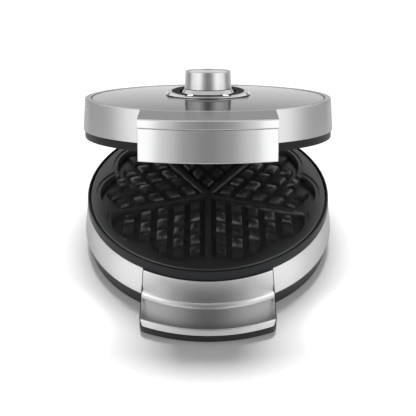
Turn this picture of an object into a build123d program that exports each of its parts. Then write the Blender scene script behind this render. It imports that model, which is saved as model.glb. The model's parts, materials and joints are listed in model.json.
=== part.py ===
"""Heart waffle maker: a round base and a hinged lid, each with a heart plate.

Millimetres, +Z up.  The handles point to -Y and the hinge is at +Y.  Every piece is drawn
about the axis of the round body, the lid's pieces with the lid closed.  Those are then
turned about the hinge to the angle at which the lid stands ajar, and at the end all are
moved so that the origin is on the table, under the middle of the object's length.
"""

import os
from math import atan2, cos, degrees, hypot, radians, sin, sqrt, tan

from build123d import *

# Heights of the base, from the table up
foot_stand = 4.1           # table to the underside of the housing
tub_height = 17.3          # dark part of the housing that shows under the band
band_height = 29.5         # silver band of the base
rim_height = 10.1          # dark rim on top of the band

# Radii of the base
rim_radius = 120.0         # outside of the base rim, at its top
rim_flare = 0.4            # how much wider the rim is at its foot
rim_top_width = 1.6        # flat top of the rim
rim_groove = 1.4           # open groove between the plate and the base rim
rim_shelf = 4.5            # overlap of the rim's shelf and the plate's flange
band_step = 0.5            # band's top edge outside the rim
band_flare = 4.1           # how much wider the band is at its foot
tub_taper = 3.6            # how much narrower the housing is at the floor
band_lip = 0.4             # band's foot outside the housing below it

# The closed lid, heights counted up from the parting plane
lid_gap = 0.7              # daylight between the two rims when closed
lid_rim_height = 7.9
lid_band_height = 29.7
lid_rim_inset = 0.6        # lid rim inside the base rim's top edge
lid_band_step = 1.0        # lid band's foot outside the base rim's top edge
lid_band_taper = 2.0       # how much narrower the lid band is at its top
lid_groove = 0.9           # groove between the plate and the lid rim
top_ring_width = 6.8       # flat ring on the lid's top, with the groove beside it
groove = 0.8               # open line between the flat ring and the cover
cover_dome = 2.7           # rise of the cover from its edge to its centre
cover_sink = 0.3           # how far the cover's edge lies below the flat ring
deck_depth = 2.8           # inner deck below the flat ring
deck_ledge = 6.0           # ledge that carries the cover's edge

# Walls and clearances
band_wall = 1.0
sheet_wall = 0.8           # pressed steel pans
cover_wall = 1.2
plastic_wall = 2.5
handle_wall = 2.0
seat = 0.3                 # gap between pieces that bear on each other
running = 0.05             # radial running clearance of pins and shafts

# Cooking plates
plate_inset = 0.2          # plate margin below the rim's top
flange_thickness = 5.0
flange_width = 6.5         # flange outside the body of the casting
casting_floor = 3.5
heart_count = 5
heart_margin = 8.9         # plate outside the hearts' widest reach
heart_depth = 8.0
heart_step = 3.5           # width of the shallow step round the hearts
heart_step_depth = 1.2
heart_seam = 1.3           # half the width of the ridge between two hearts
heart_draft = 12.0         # degrees
lobe_radius = 37.0
lobe_off = 20.9            # lobe centre, measured square to the seam
corner_round = 5.0         # rounded corner where a lobe meets its seam
stud_pitch = 16.2          # square to the seam
stud_first = 12.0          # centre of the first row of studs, from the seam
stud_width = 11.0
stud_height = 5.5
stud_draft = 16.0          # degrees
stud_margin = 6.0          # bare margin between the studs and the heart's edge
stud_least = 0.2           # clipped studs below this share of a whole one are left off
ridge_end = 20.0           # the ridges between hearts are low up to this short of the reach
ridge_sink = 3.2           # their top below the plate's margin

# Reflector pans and elements
pan_inset = 1.5            # pan's edge inside the casting's
pan_slope = 13.0           # width of the pan's sloping wall
lower_pan_depth = 14.6
element_inset = 16.0       # ring of the element inside the ring of screw posts
element_tube = 3.4         # radius of the tube, which is pressed to flats
element_sides = 6
element_gap = 16.0         # degrees left open on each side of the middle of the back
element_bend = 6.0         # bend of the ends, to the tube's middle
terminal_stub = 4.0        # how far the ends come out under the pan

# Screw posts
post_count = 3
post_start = 30.0          # degrees; one post is under each handle
post_sides = 6             # posts, bosses, screws and their holes are plain hexagons
post_inset = 22.5          # ring of posts inside the casting's edge
post_radius = 6.0
boss_radius = 5.0
screw_radius = 2.0
screw_clearance = 0.2
screw_head_radius = 3.6
screw_head_height = 2.0
screw_bite = 6.0

# Feet
foot_count = 4
foot_start = 45.0          # degrees
foot_taper = 1.0
foot_inset = 23.0          # ring of feet inside the housing's lower edge
foot_radius = 8.5

# Vents in the floor
vent_count = 7
vent_pitch = 10.0
vent_length = 46.0
vent_width = 3.5

# Hinge
hinge_set_back = 5.0       # hinge axis behind the rim
hinge_lift = 0.5           # hinge axis above the parting plane
lid_open = 27.5            # degrees, as the lid stands ajar
barrel_radius = 6.0
pin_radius = 2.5
pin_head = 1.2             # the pin's heads, in thickness and in overlap
knuckle_inner = 30.0       # lid knuckle, nearer end from the middle
knuckle_length = 13.0
lug_length = 8.0
block_proud = 2.5          # hinge blocks behind the hinge axis
block_round = 3.0
block_margin = 1.1         # base block below the band's top edge
block_short = 6.8          # bands run this far past the blocks

# Handles
handle_half = 60.0
lid_handle_length = 40.3   # lid's top edge to the lip
lid_handle_drop = 2.7      # fall of the cap from the lid to the lip
lid_lip_height = 8.0
lip_proud = 1.7            # lip in front of the skirt
skirt_bottom = 1.2         # skirt's lower edge below the parting plane
cheek_wall = 2.0
base_handle_half = 60.4
base_handle_flare = 2.6    # extra half width at the tongue's lip
base_handle_length = 31.9  # handle's wall to its lip
base_wall_step = 1.9       # handle's wall outside the band's top edge
tongue_margin = 2.6        # root of the tongue below the band
tongue_fall = 1.6          # fall of the tongue from root to lip
tongue_fillet = 6.0
base_lip_height = 6.0
base_lip_lean = 0.3        # the lip's lower edge stands this far in front of its top
grip_inset = 0.8           # dark grip behind the lip's face
grip_wall = 2.5

# Dial and bezel, from the crown of the cover up
dial_lift = 1.2            # skirt's foot above the crown
dial_skirt_height = 4.3
knob_height = 17.2
knob_top_radius = 22.0
knob_foot_radius = 23.0
knob_wall = 2.0
dial_skirt_flare = 2.5     # skirt outside the knob's foot
cap_inset = 2.4            # spun disc inside the knob's top edge
cap_thickness = 0.8
shaft_radius = 3.0
shaft_engage = 1.6         # shaft inside the thermostat's body
hub_radius = 6.0
bezel_rise = 5.5
bezel_gap = 1.5            # bezel's bore outside the dial's skirt
bezel_dish = 8.2           # width of the dish, with the black insert in it
bezel_slope = 5.8          # width of the cone outside the dish
crest_width = 1.8          # flat crest between cone and dish
insert_height = 2.0        # insert's underside above the cover
insert_thickness = 0.8
lamp_radius = 2.9
lamp_proud = 1.4
lamp_angle = 33.0          # each lamp, from straight ahead
bush_radius = 5.0
thermostat_length = 26.0
thermostat_width = 22.0
thermostat_height = 9.4

# Loose pieces on the housing's floor
block_length = 28.0
block_width = 14.0
block_height = 12.0
wire_hole = 4.0            # square holes in the block
fuse_radius = 3.0
fuse_length = 28.0
clip_length = 12.0
clip_width = 16.0

# Cord inlet
inlet_bore = 3.6
inlet_radius = 5.5
inlet_flange_radius = 7.0
inlet_flange = 2.0
inlet_length = 14.0
inlet_height = 12.6        # centre above the table

# Heights worked out from the values above
floor_under = foot_stand
floor_top = floor_under + plastic_wall
band_foot = foot_stand + tub_height
band_top = band_foot + band_height
parting = band_top + rim_height
lid_rim_foot = parting + lid_gap
lid_band_foot = lid_rim_foot + lid_rim_height
lid_top = lid_band_foot + lid_band_height
deck_top = lid_top - deck_depth
deck_under = deck_top - plastic_wall
cover_edge = lid_top - cover_sink
crown = cover_edge + cover_dome
hinge_height = parting + hinge_lift
mid_gap = parting + lid_gap / 2
plate_top = parting - plate_inset
plate_under = plate_top - heart_depth - casting_floor
flange_under = plate_top - flange_thickness
upper_casting_top = 2 * mid_gap - plate_under
upper_pan_depth = deck_under - thermostat_height - upper_casting_top - sheet_wall - 3 * seat
tongue_root = band_foot - tongue_margin
tongue_lip = tongue_root - tongue_fall
underside_top = tongue_lip - handle_wall - 2 * seat
base_block_top = band_top - block_margin
base_block_low = band_foot + block_short
lid_block_low = lid_band_foot + seat
lid_block_top = lid_top - block_short
skirt_foot = crown + dial_lift
knob_foot = skirt_foot + dial_skirt_height
knob_top = knob_foot + knob_height
shaft_foot = deck_under - shaft_engage

# Radii worked out from the values above
band_top_radius = rim_radius + band_step
band_foot_radius = band_top_radius + band_flare
tub_top_radius = band_foot_radius - band_lip
tub_foot_radius = band_foot_radius - tub_taper
tub_inner_radius = band_top_radius - band_wall - seat - plastic_wall
lid_rim_radius = rim_radius - lid_rim_inset
lid_band_foot_radius = rim_radius + lid_band_step
lid_band_top_radius = lid_band_foot_radius - lid_band_taper
cover_radius = lid_band_top_radius - top_ring_width
plate_radius = rim_radius - rim_top_width - rim_groove
casting_radius = plate_radius - flange_width
shelf_radius = plate_radius - rim_shelf
heart_reach = plate_radius - heart_margin
ridge_radius = heart_reach - ridge_end
lobe_along = sqrt((heart_reach - lobe_radius) ** 2 - lobe_off**2)
pan_radius = casting_radius - pan_inset
pan_floor_radius = pan_radius - pan_slope
post_ring = casting_radius - post_inset
element_ring = post_ring - element_inset
foot_ring = tub_foot_radius - foot_inset
hinge_back = rim_radius + hinge_set_back
block_back = hinge_back + block_proud
base_block_half = knuckle_inner + knuckle_length + lug_length + seat
lid_block_half = knuckle_inner + knuckle_length
lid_handle_reach = lid_band_top_radius + lid_handle_length
base_wall_radius = band_top_radius + base_wall_step
base_handle_reach = base_wall_radius + base_handle_length
dial_skirt_radius = knob_foot_radius + dial_skirt_flare
cap_radius = knob_top_radius - cap_inset
bezel_bore = dial_skirt_radius + bezel_gap
dish_radius = bezel_bore + bezel_dish
bezel_radius = dish_radius + bezel_slope
lamp_ring = bezel_bore + bezel_dish / 2
wide = 4 * rim_radius      # longer than anything here, for cutting tools


def profile(points):
    """Face from (x, y) corners; a third number rounds a corner, or bevels it if negative."""
    face = make_face(Polyline(*[(p[0], p[1]) for p in points], close=True))
    for point in points:
        if len(point) == 3:
            corner = face.vertices().sort_by_distance((point[0], point[1], 0))[0]
            size = point[2]
            face = fillet(corner, size) if size > 0 else chamfer(corner, -size)
    return face


def turned(points):
    """Solid of revolution about Z from (radius, height) corners."""
    return revolve(Plane.XZ * profile(points), Axis.Z)


def slab(low, high):
    """Box between two corners."""
    size = [b - a for a, b in zip(low, high)]
    middle = [(a + b) / 2 for a, b in zip(low, high)]
    return Pos(*middle) * Box(*size)


def post(radius, low, high, x=0.0, y=0.0):
    """Upright cylinder at x, y between two heights."""
    return Pos(x, y, (low + high) / 2) * Cylinder(radius, high - low)


def hex_post(radius, low, high, x=0.0, y=0.0):
    """Upright hexagonal prism at x, y between two heights, sized to its corners."""
    return Pos(x, y, low) * extrude(RegularPolygon(radius, post_sides), high - low)


def rod_x(radius, x0, x1, y, z):
    """Cylinder along X."""
    return Pos((x0 + x1) / 2, y, z) * Rot(0, 90, 0) * Cylinder(radius, x1 - x0)


def around(count, ring, start=post_start):
    """Centres of a circle of places."""
    steps = [radians(start + 360 / count * i) for i in range(count)]
    return [(ring * cos(a), ring * sin(a)) for a in steps]


def front_block(root_half, lip_half, reach):
    """Plan outline of a handle, from inside the body out past its lip, full height."""
    plan = profile([(-root_half, -rim_radius / 2), (root_half, -rim_radius / 2),
                    (root_half, -sqrt(rim_radius**2 - root_half**2)),
                    (lip_half, -reach - 5), (-lip_half, -reach - 5),
                    (-root_half, -sqrt(rim_radius**2 - root_half**2))])
    return extrude(plan, wide)


def opened(shape):
    """Turn a lid piece from closed to where the lid stands ajar."""
    hinge = Axis((0, hinge_back, hinge_height), (-1, 0, 0))
    return shape.rotate(hinge, lid_open)


def on_seam(along, off, side):
    """Point in a heart's own frame, whose axis is +Y, measured from one of its seams."""
    half = radians(180 / heart_count)
    across = along * sin(half) - off * cos(half)
    return side * across, along * cos(half) + off * sin(half)


def heart(grow=0.0):
    """Heart outline pointing its tip at the plate's centre, its axis along +Y."""
    lobes = [Pos(*on_seam(lobe_along, lobe_off, s)) * Circle(lobe_radius + grow) for s in (-1, 1)]
    body = make_face(Polyline((0, 0), on_seam(lobe_along, 0, 1), on_seam(lobe_along, lobe_off, 1),
                              on_seam(lobe_along, lobe_off, -1), on_seam(lobe_along, 0, -1),
                              close=True))
    seam = heart_seam - grow
    tip = (0, seam / sin(radians(180 / heart_count)))
    wedge = make_face(Polyline(tip, on_seam(wide, seam, 1), on_seam(wide, seam, -1), close=True))
    outline = (lobes[0] + lobes[1] + body) & wedge
    corners = outline.vertices().sort_by(Axis.X)
    return fillet([corners[0], corners[-1]], corner_round)


def flower(grow):
    """Outline round all the hearts together."""
    shape = Circle(lobe_along)
    for k in range(heart_count):
        for side in (-1, 1):
            lobe = Pos(*on_seam(lobe_along, lobe_off, side)) * Circle(lobe_radius + grow)
            shape += Rot(0, 0, 360 / heart_count * k) * lobe
    return shape


def rhombus(near, far, half, height):
    """Outline of a stud at a height, centred at these distances from the heart's two seams."""
    angle = radians(360 / heart_count)

    def crossing(a, b):
        """Point at these two distances from the seams."""
        return on_seam((b + a * cos(angle)) / sin(angle), a, 1)

    corners = [crossing(near - half, far - half), crossing(near + half, far - half),
               crossing(near + half, far + half), crossing(near - half, far + half)]
    return Pos(0, 0, height) * make_face(Polyline(*corners, close=True))


def heart_studs():
    """Drafted rhombic studs of one heart, clipped to a drafted margin."""
    low = plate_top - heart_depth
    high = low + stud_height
    half = stud_width / 2
    lean = stud_height * tan(radians(stud_draft))
    margin = loft([Pos(0, 0, low) * heart(-stud_margin),
                   Pos(0, 0, high) * heart(-stud_margin - lean)], ruled=True)
    rows = [stud_first + stud_pitch * i for i in range(int(2 * lobe_along / stud_pitch) + 1)]
    studs = []
    for near in rows:
        for far in rows:
            stud = loft([rhombus(near, far, half, low), rhombus(near, far, half - lean, high)],
                        ruled=True)
            clipped = (stud & margin).solids()
            studs += [part for part in clipped if part.volume > stud_least * stud.volume]
    return studs


def heart_recess():
    """Tool that sinks one heart into a plate and leaves its studs standing."""
    narrowing = heart_depth * tan(radians(heart_draft))
    hollow = loft([Pos(0, 0, plate_top - heart_depth) * heart(-narrowing),
                   Pos(0, 0, plate_top) * heart()], ruled=True)
    return hollow - heart_studs()


def cooking_plate(pan_depth):
    """Cast plate with its hearts facing up, and bosses down to its reflector pan."""
    plate = turned([(0, plate_under), (casting_radius, plate_under, -1.5),
                    (casting_radius, flange_under), (plate_radius, flange_under),
                    (plate_radius, plate_top, -0.8), (0, plate_top)])
    plate -= extrude(Pos(0, 0, plate_top - heart_step_depth) * flower(heart_step), heart_depth)
    plate -= post(ridge_radius, plate_top - ridge_sink, plate_top + 1)
    recess = heart_recess()
    plate -= [Rot(0, 0, 360 / heart_count * k) * recess for k in range(heart_count)]
    boss_end = pan_floor_inside(pan_depth) + seat
    for x, y in around(post_count, post_ring):
        plate += hex_post(boss_radius, boss_end, plate_under, x, y)
        plate -= hex_post(screw_radius + screw_clearance, boss_end, boss_end + screw_bite + 1, x, y)
    return plate


def pan_floor_inside(depth):
    """Height of a lower pan's floor, on the side of the plate."""
    return plate_under - seat - depth


def reflector(depth):
    """Pressed pan under a cooking plate, with holes for terminals and screws."""
    rim = plate_under - seat
    floor = pan_floor_inside(depth)
    pan = turned([(0, floor - sheet_wall), (pan_floor_radius, floor - sheet_wall), (pan_radius, rim),
                  (pan_radius - sheet_wall, rim), (pan_floor_radius - sheet_wall, floor), (0, floor)])
    for x, y in around(post_count, post_ring):
        pan -= hex_post(screw_radius + screw_clearance, floor - 2, floor + 1, x, y)
    for x, y in terminal_places():
        pan -= hex_post(element_tube + 1, floor - 2, floor + 1, x, y)
    return pan


def terminal_places():
    """Where the two ends of an element run down, beside the gap in its ring."""
    return [tuple(element_end(side) - element_along(side) * element_bend)[:2] for side in (1, -1)]


def element_end(side):
    """End of an element's ring, left or right of the gap at the back."""
    angle = radians(90 + side * element_gap)
    return Vector(element_ring * cos(angle), element_ring * sin(angle), 0)


def element_along(side):
    """Direction in which the ring sets out from that end."""
    angle = radians(90 + side * element_gap)
    return Vector(-sin(angle), cos(angle), 0) * side


def heating_element(depth):
    """Tubular element under a plate: a ring open at the back, its ends bent down."""
    level = plate_under - seat - element_tube
    up = Vector(0, 0, 1)
    low = pan_floor_inside(depth) - sheet_wall - terminal_stub
    legs = []
    for side in (1, -1):
        start = element_end(side) + up * level
        centre = start - up * element_bend
        foot = centre - element_along(side) * element_bend
        middle = centre + (up - element_along(side)) * (element_bend * sin(radians(45)))
        bend = ThreePointArc(foot, middle, start)
        legs.append((Line(foot - up * (foot.Z - low), foot), bend, start))
    ring = ThreePointArc(legs[0][2], Vector(0, -element_ring, level), legs[1][2])
    path = Wire([legs[0][0], legs[0][1], ring, legs[1][1], legs[1][0]])
    section = RegularPolygon(element_tube, element_sides)
    return sweep(Plane(legs[0][0] @ 0, z_dir=(0, 0, 1)) * section, path=path)


def upside_down(shape):
    """Mirror a lower piece about the middle of the gap between the plates."""
    return mirror(shape, Plane.XY.offset(mid_gap))


def tub_radius(height):
    """Outside of the housing's visible wall at a height."""
    share = (height - floor_under) / tub_height
    return tub_foot_radius + share * (tub_top_radius - tub_foot_radius)


def band_radius(height):
    """Outside of the base band at a height."""
    share = (height - band_foot) / band_height
    return band_foot_radius + share * (band_top_radius - band_foot_radius)


def base_housing():
    """Moulded tub: floor, flared wall, ledge under the band, screw posts and vents."""
    inner = tub_inner_radius
    back = band_wall + seat
    ledge = band_foot - seat
    tub = turned([(0, floor_under), (tub_foot_radius, floor_under), (tub_radius(ledge), ledge),
                  (band_radius(ledge) - back, ledge), (band_radius(band_top) - back, band_top - seat),
                  (inner, band_top - seat), (inner, floor_top), (0, floor_top)])
    handle = front_block(base_handle_half + seat, base_handle_half + seat, base_handle_reach)
    behind = base_wall_radius - handle_wall - seat
    keep = post(behind, 0, wide)
    tub -= handle & post(wide, underside_top - seat / 2, wide) - keep
    pan_under = pan_floor_inside(lower_pan_depth) - sheet_wall - seat
    for x, y in around(post_count, post_ring):
        tub += hex_post(post_radius, floor_top - 1, pan_under, x, y)
        tub -= hex_post(screw_radius + screw_clearance, 0, wide, x, y)
        tub -= hex_post(screw_head_radius + seat, 0, floor_under + screw_head_height + seat, x, y)
    for k in range(vent_count):
        x = (k - (vent_count - 1) / 2) * vent_pitch
        tub -= Pos(x, 0, floor_under) * Box(vent_width, vent_length, 4 * plastic_wall)
    tub -= rod_y(inlet_radius + seat / 2, inner - 5, wide / 2, 0, inlet_height)
    return tub


def rod_y(radius, y0, y1, x, z):
    """Cylinder along Y."""
    return Pos(x, (y0 + y1) / 2, z) * Rot(90, 0, 0) * Cylinder(radius, y1 - y0)


def base_band():
    """Silver band, open at the front for the handle and notched for the hinge block."""
    band = turned([(band_foot_radius, band_foot), (band_top_radius, band_top),
                   (band_top_radius - band_wall, band_top), (band_foot_radius - band_wall, band_foot)])
    gap = 2 * seat
    band -= slab((-base_handle_half - gap, -wide, 0), (base_handle_half + gap, 0, wide))
    half = base_block_half + gap
    low = base_block_low - gap
    return band - slab((-half, 0, low), (half, wide, wide))


def base_rim():
    """Dark ring that stands on the housing and carries the plate's flange."""
    inside = plate_radius + rim_groove
    foot = rim_radius + rim_flare
    shelf = flange_under - seat
    return turned([(shelf_radius, band_top), (foot, band_top), (rim_radius, parting, -0.8),
                   (inside, parting), (inside, shelf), (shelf_radius, shelf)])


def handle_profile(shape, root_half, lip_half, reach):
    """Cut a turned handle section to its width."""
    return shape & front_block(root_half, lip_half, reach)


def base_handle():
    """Silver wall, fillet and tongue of the base handle, with its rolled lip."""
    root = tongue_root
    lip = tongue_lip
    face = base_wall_radius
    back = face - handle_wall
    section = turned([(back, band_top - seat), (face, band_top - seat, 0.6), (face, root, tongue_fillet),
                      (base_handle_reach, lip, 1.6), (base_handle_reach + base_lip_lean, lip - base_lip_height),
                      (base_handle_reach - handle_wall, lip - base_lip_height),
                      (base_handle_reach - handle_wall, lip - handle_wall),
                      (back, root - handle_wall, tongue_fillet)])
    return handle_profile(section, base_handle_half, base_handle_half + base_handle_flare,
                          base_handle_reach)


def base_handle_underside():
    """Dark grip under the tongue: a tray open at the bottom, with ribs."""
    top = underside_top
    tuck = base_handle_reach - handle_wall - seat
    outside = base_handle_reach - grip_inset
    lip = tongue_lip - base_lip_height - seat
    foot = floor_under
    low = foot - grip_wall
    roof = top - grip_wall
    section = turned([(tub_radius(top) + 2 * seat, top), (tuck, top), (tuck, lip), (outside, lip),
                      (outside - grip_inset, foot, grip_inset), (tub_radius(foot) + 2 * seat, foot)])
    hollow = turned([(tub_radius(top) + grip_wall, low), (outside - grip_wall, low),
                     (tuck - grip_wall, roof), (tub_radius(top) + grip_wall, roof)])
    root_half = base_handle_half - 2 * seat
    lip_half = root_half + base_handle_flare - 2 * seat
    hollow = handle_profile(hollow, root_half - grip_wall, lip_half - grip_wall, base_handle_reach)
    for x in (-root_half / 2, 0, root_half / 2):
        hollow -= slab((x - grip_wall / 2, -wide, 0), (x + grip_wall / 2, 0, wide))
    return handle_profile(section, root_half, lip_half, base_handle_reach) - hollow


def rounded_block(half, low, high):
    """Hinge block, flat at the back, with its outer edges rounded."""
    block = slab((-half, hinge_back - half, low), (half, block_back, high))
    back = block.faces().sort_by(Axis.Y)[-1]
    return chamfer(back.edges(), block_round)


def hinge_barrel(x0, x1, bottom, back):
    """Round barrel on the hinge axis with a web to a level above or below it."""
    low, high = sorted((bottom, hinge_height))
    web = slab((x0, hinge_back - barrel_radius, low), (x1, back, high))
    return rod_x(barrel_radius, x0, x1, hinge_back, hinge_height) + web


def base_hinge():
    """Dark block in the back of the base, with two lugs that hold the pin."""
    top = base_block_top
    half = base_block_half
    block = rounded_block(half, base_block_low, top)
    block -= post(band_foot_radius - band_wall - seat, 0, wide)
    for side in (-1, 1):
        x0, x1 = sorted((side * (half - lug_length), side * half))
        block += hinge_barrel(x0, x1, top - barrel_radius, block_back)
    block -= post(rim_radius + rim_flare + seat, band_top - seat, wide)
    return block - rod_x(pin_radius + running, -wide, wide, hinge_back, hinge_height)


def hinge_pin():
    """Steel pin with a flat head at each end."""
    half = base_block_half
    pin = rod_x(pin_radius, -half - seat, half + seat, hinge_back, hinge_height)
    for side in (-1, 1):
        x0, x1 = sorted((side * (half + seat), side * (half + seat + pin_head)))
        pin += rod_x(pin_radius + pin_head, x0, x1, hinge_back, hinge_height)
    return pin


def rubber_feet():
    """Four tapered rubber feet under the housing's floor."""
    foot = turned([(0, 0), (foot_radius - foot_taper, 0), (foot_radius, foot_stand), (0, foot_stand)])
    return Part() + [Pos(x, y, 0) * foot for x, y in around(foot_count, foot_ring, foot_start)]


def screw_set(head, tip):
    """Plain hex screws on the ring of posts; the head is at one height, the tip at another."""
    way = 1 if tip > head else -1
    screw = extrude(RegularPolygon(screw_head_radius, post_sides), way * screw_head_height)
    screw += extrude(RegularPolygon(screw_radius, post_sides), tip - head)
    return Part() + [Pos(x, y, head) * screw for x, y in around(post_count, post_ring)]


def base_screws():
    """Screws from the floor through post and pan into the plate's bosses."""
    tip = pan_floor_inside(lower_pan_depth) + seat + screw_bite
    return screw_set(floor_under, tip)


def cord_inlet():
    """Bushed hole at the back where the cord enters."""
    outer = tub_radius(inlet_height + inlet_flange_radius) + seat
    face = outer + inlet_flange
    bush = rod_y(inlet_radius, face - inlet_length, face, 0, inlet_height)
    bush += rod_y(inlet_flange_radius, outer, face, 0, inlet_height)
    return bush - rod_y(inlet_bore, 0, wide / 2, 0, inlet_height)


def terminal_block():
    """Ceramic block on the floor at the back, with two square wire holes."""
    back = post_ring
    half = block_length / 2
    block = slab((-half, back - block_width, floor_top), (half, back, floor_top + block_height))
    for x in (-half / 2, half / 2):
        middle = floor_top + block_height / 2
        block -= slab((x - wire_hole / 2, 0, middle - wire_hole / 2),
                      (x + wire_hole / 2, wide, middle + wire_hole / 2))
    return block


def thermal_fuse():
    """Fuse in its clip, under the lower reflector pan."""
    under = pan_floor_inside(lower_pan_depth) - sheet_wall - seat
    clip = slab((-clip_length / 2, -clip_width / 2, under - sheet_wall),
                (clip_length / 2, clip_width / 2, under))
    return clip + rod_x(fuse_radius, -fuse_length / 2, fuse_length / 2, 0, under - fuse_radius)


def lid_wall(height):
    """Outside of the lid band at a height."""
    share = (height - lid_band_foot) / lid_band_height
    return lid_band_foot_radius + share * (lid_band_top_radius - lid_band_foot_radius)


def lid_frame():
    """Inner moulding of the lid: wall, deck, seat for the cover, screw posts."""
    back = band_wall + seat
    foot = lid_band_foot + seat
    under_flange = lid_top - band_wall - seat
    under_cover = cover_edge - cover_wall - seat
    step = cover_radius + groove / 2
    frame = turned([(lid_wall(foot) - back, foot), (lid_wall(under_flange) - back, under_flange),
                    (step, under_flange), (step, under_cover),
                    (step - deck_ledge, under_cover), (step - deck_ledge, deck_top),
                    (bush_radius + seat, deck_top),
                    (bush_radius + seat, deck_under),
                    (lid_wall(under_flange) - back - plastic_wall, deck_under),
                    (lid_wall(foot) - back - plastic_wall, foot)])
    pan_top = 2 * mid_gap - pan_floor_inside(upper_pan_depth) + sheet_wall + seat
    for x, y in around(post_count, post_ring):
        frame += hex_post(post_radius, pan_top, deck_under + 1, x, y)
        frame -= hex_post(screw_radius + screw_clearance, pan_top - 1, wide, x, y)
    return frame


def lid_band():
    """Silver band of the lid with its flat top ring, open at the handle and the hinge."""
    inside = cover_radius + groove
    band = turned([(lid_band_foot_radius, lid_band_foot), (lid_band_top_radius, lid_top, -0.6),
                   (inside, lid_top), (inside, lid_top - band_wall),
                   (lid_band_top_radius - band_wall, lid_top - band_wall),
                   (lid_band_foot_radius - band_wall, lid_band_foot)])
    half = handle_half + seat
    ring = lid_band_top_radius - seat
    front = slab((-half, -wide, 0), (half, 0, wide))
    band -= front - post(ring, 0, wide)
    half = lid_block_half + 2 * seat
    notch = slab((-half, 0, 0), (half, wide, lid_block_top + seat))
    return band - (notch - post(inside, 0, wide))


def lid_hinge():
    """Dark block in the back of the lid, with two knuckles on the pin."""
    half = lid_block_half
    low = lid_block_low
    block = rounded_block(half, low, lid_block_top)
    inner = lid_band_foot_radius - band_wall + seat
    for side in (-1, 1):
        x0, x1 = sorted((side * knuckle_inner, side * half))
        block += hinge_barrel(x0, x1, low + barrel_radius, block_back)
    block -= post(inner, low, wide)
    block -= post(lid_rim_radius + seat, parting, low)
    return block - rod_x(pin_radius + running, -wide, wide, hinge_back, hinge_height)


def lid_rim():
    """Dark ring under the lid band that holds the upper plate's flange."""
    inside = plate_radius + lid_groove
    shelf = 2 * mid_gap - flange_under + seat
    return turned([(lid_rim_radius, lid_rim_foot, -0.7), (lid_rim_radius + 0.2, lid_band_foot),
                   (shelf_radius, lid_band_foot), (shelf_radius, shelf),
                   (inside, shelf), (inside, lid_rim_foot)])


def cover_height(radius):
    """Top of the domed cover at a radius."""
    return cover_edge + cover_dome * (1 - (radius / cover_radius) ** 2)


def lid_cover():
    """Domed disc set into the flat ring, with a hole for the dial's shaft."""
    ball = (cover_radius**2 + cover_dome**2) / (2 * cover_dome)
    outer = Pos(0, 0, cover_edge + cover_dome - ball) * Sphere(ball)
    inner = Pos(0, 0, cover_edge + cover_dome - ball) * Sphere(ball - cover_wall)
    disc = post(cover_radius, cover_edge - cover_wall, lid_top + 5) & outer
    disc -= inner & post(cover_radius - 3, 0, lid_top + 5)
    return disc - post(bush_radius + seat, 0, wide)


def lid_handle_cap():
    """Top face of the lid handle and its lip."""
    root = lid_band_top_radius + seat
    lip = lid_top - lid_handle_drop
    section = turned([(root, lid_top), (lid_handle_reach, lip, 1.2),
                      (lid_handle_reach, lip - lid_lip_height, 0.8),
                      (lid_handle_reach - handle_wall, lip - lid_lip_height),
                      (lid_handle_reach - handle_wall, lip - handle_wall),
                      (root, lid_top - handle_wall)])
    return handle_profile(section, handle_half, handle_half, lid_handle_reach)


def lid_handle_skirt():
    """Curved front sheet of the lid handle with its two cheeks."""
    front = lid_handle_reach - lip_proud
    lip = lid_top - lid_handle_drop - lid_lip_height - seat
    tuck = lid_handle_reach - handle_wall - seat
    foot = parting - skirt_bottom
    up = lid_top - lid_handle_drop - handle_wall - seat
    sheet = turned([(front - handle_wall, foot), (front, foot, 0.8), (front, lip), (tuck, lip),
                    (tuck, up), (front - handle_wall, up)])
    sheet = handle_profile(sheet, handle_half, handle_half, lid_handle_reach)
    root = lid_wall(lid_band_foot) + seat
    inside = front - handle_wall / 2
    cheek = turned([(root, lid_band_foot), (inside, foot), (inside, up), (root, up)])
    cheek = handle_profile(cheek, handle_half, handle_half, lid_handle_reach)
    inner = slab((-handle_half + cheek_wall, -wide, 0), (handle_half - cheek_wall, 0, wide))
    return sheet + (cheek - inner)


def lid_handle_liner():
    """Dark grip inside the handle: it lines the cap and covers the lid's wall."""
    top_in = lid_top - handle_wall - seat
    top_out = lid_top - lid_handle_drop - handle_wall - seat
    reach = lid_handle_reach - lip_proud - handle_wall - seat
    foot = lid_band_foot + seat
    back = lid_wall(lid_band_foot) - band_wall
    front = back + plastic_wall
    roof = top_out - plastic_wall
    section = turned([(back, foot), (front, foot), (front, roof, plastic_wall), (reach, roof),
                      (reach, top_out), (back, top_in)])
    half = handle_half - cheek_wall - seat
    return handle_profile(section, half, half, lid_handle_reach)


def bezel_ring():
    """Chrome ring round the dial: a cone outside and a dish inside."""
    foot = cover_height(bezel_bore) + seat
    crest = crown + bezel_rise
    dish = insert_under() - seat / 2
    return turned([(bezel_bore, foot), (bezel_radius, foot), (bezel_radius, foot + 2 * seat),
                   (dish_radius + crest_width, crest, -0.8), (dish_radius, crest),
                   (dish_radius, dish), (bezel_bore, dish)])


def insert_under():
    """Underside of the black insert."""
    return cover_height(bezel_bore) + insert_height


def bezel_insert():
    """Black annulus in the bezel's dish."""
    under = insert_under()
    top = under + insert_thickness
    inner = bezel_bore + seat
    outer = dish_radius - seat
    insert = turned([(inner, under), (outer, under), (outer, top), (inner, top)])
    for x, y in lamp_places():
        insert -= post(lamp_radius + screw_clearance, under - 1, top + 1, x, y)
    return insert


def lamp_places():
    """Centres of the two pilot lights."""
    angles = [radians(270 + s * lamp_angle) for s in (-1, 1)]
    return [(lamp_ring * cos(a), lamp_ring * sin(a)) for a in angles]


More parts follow.
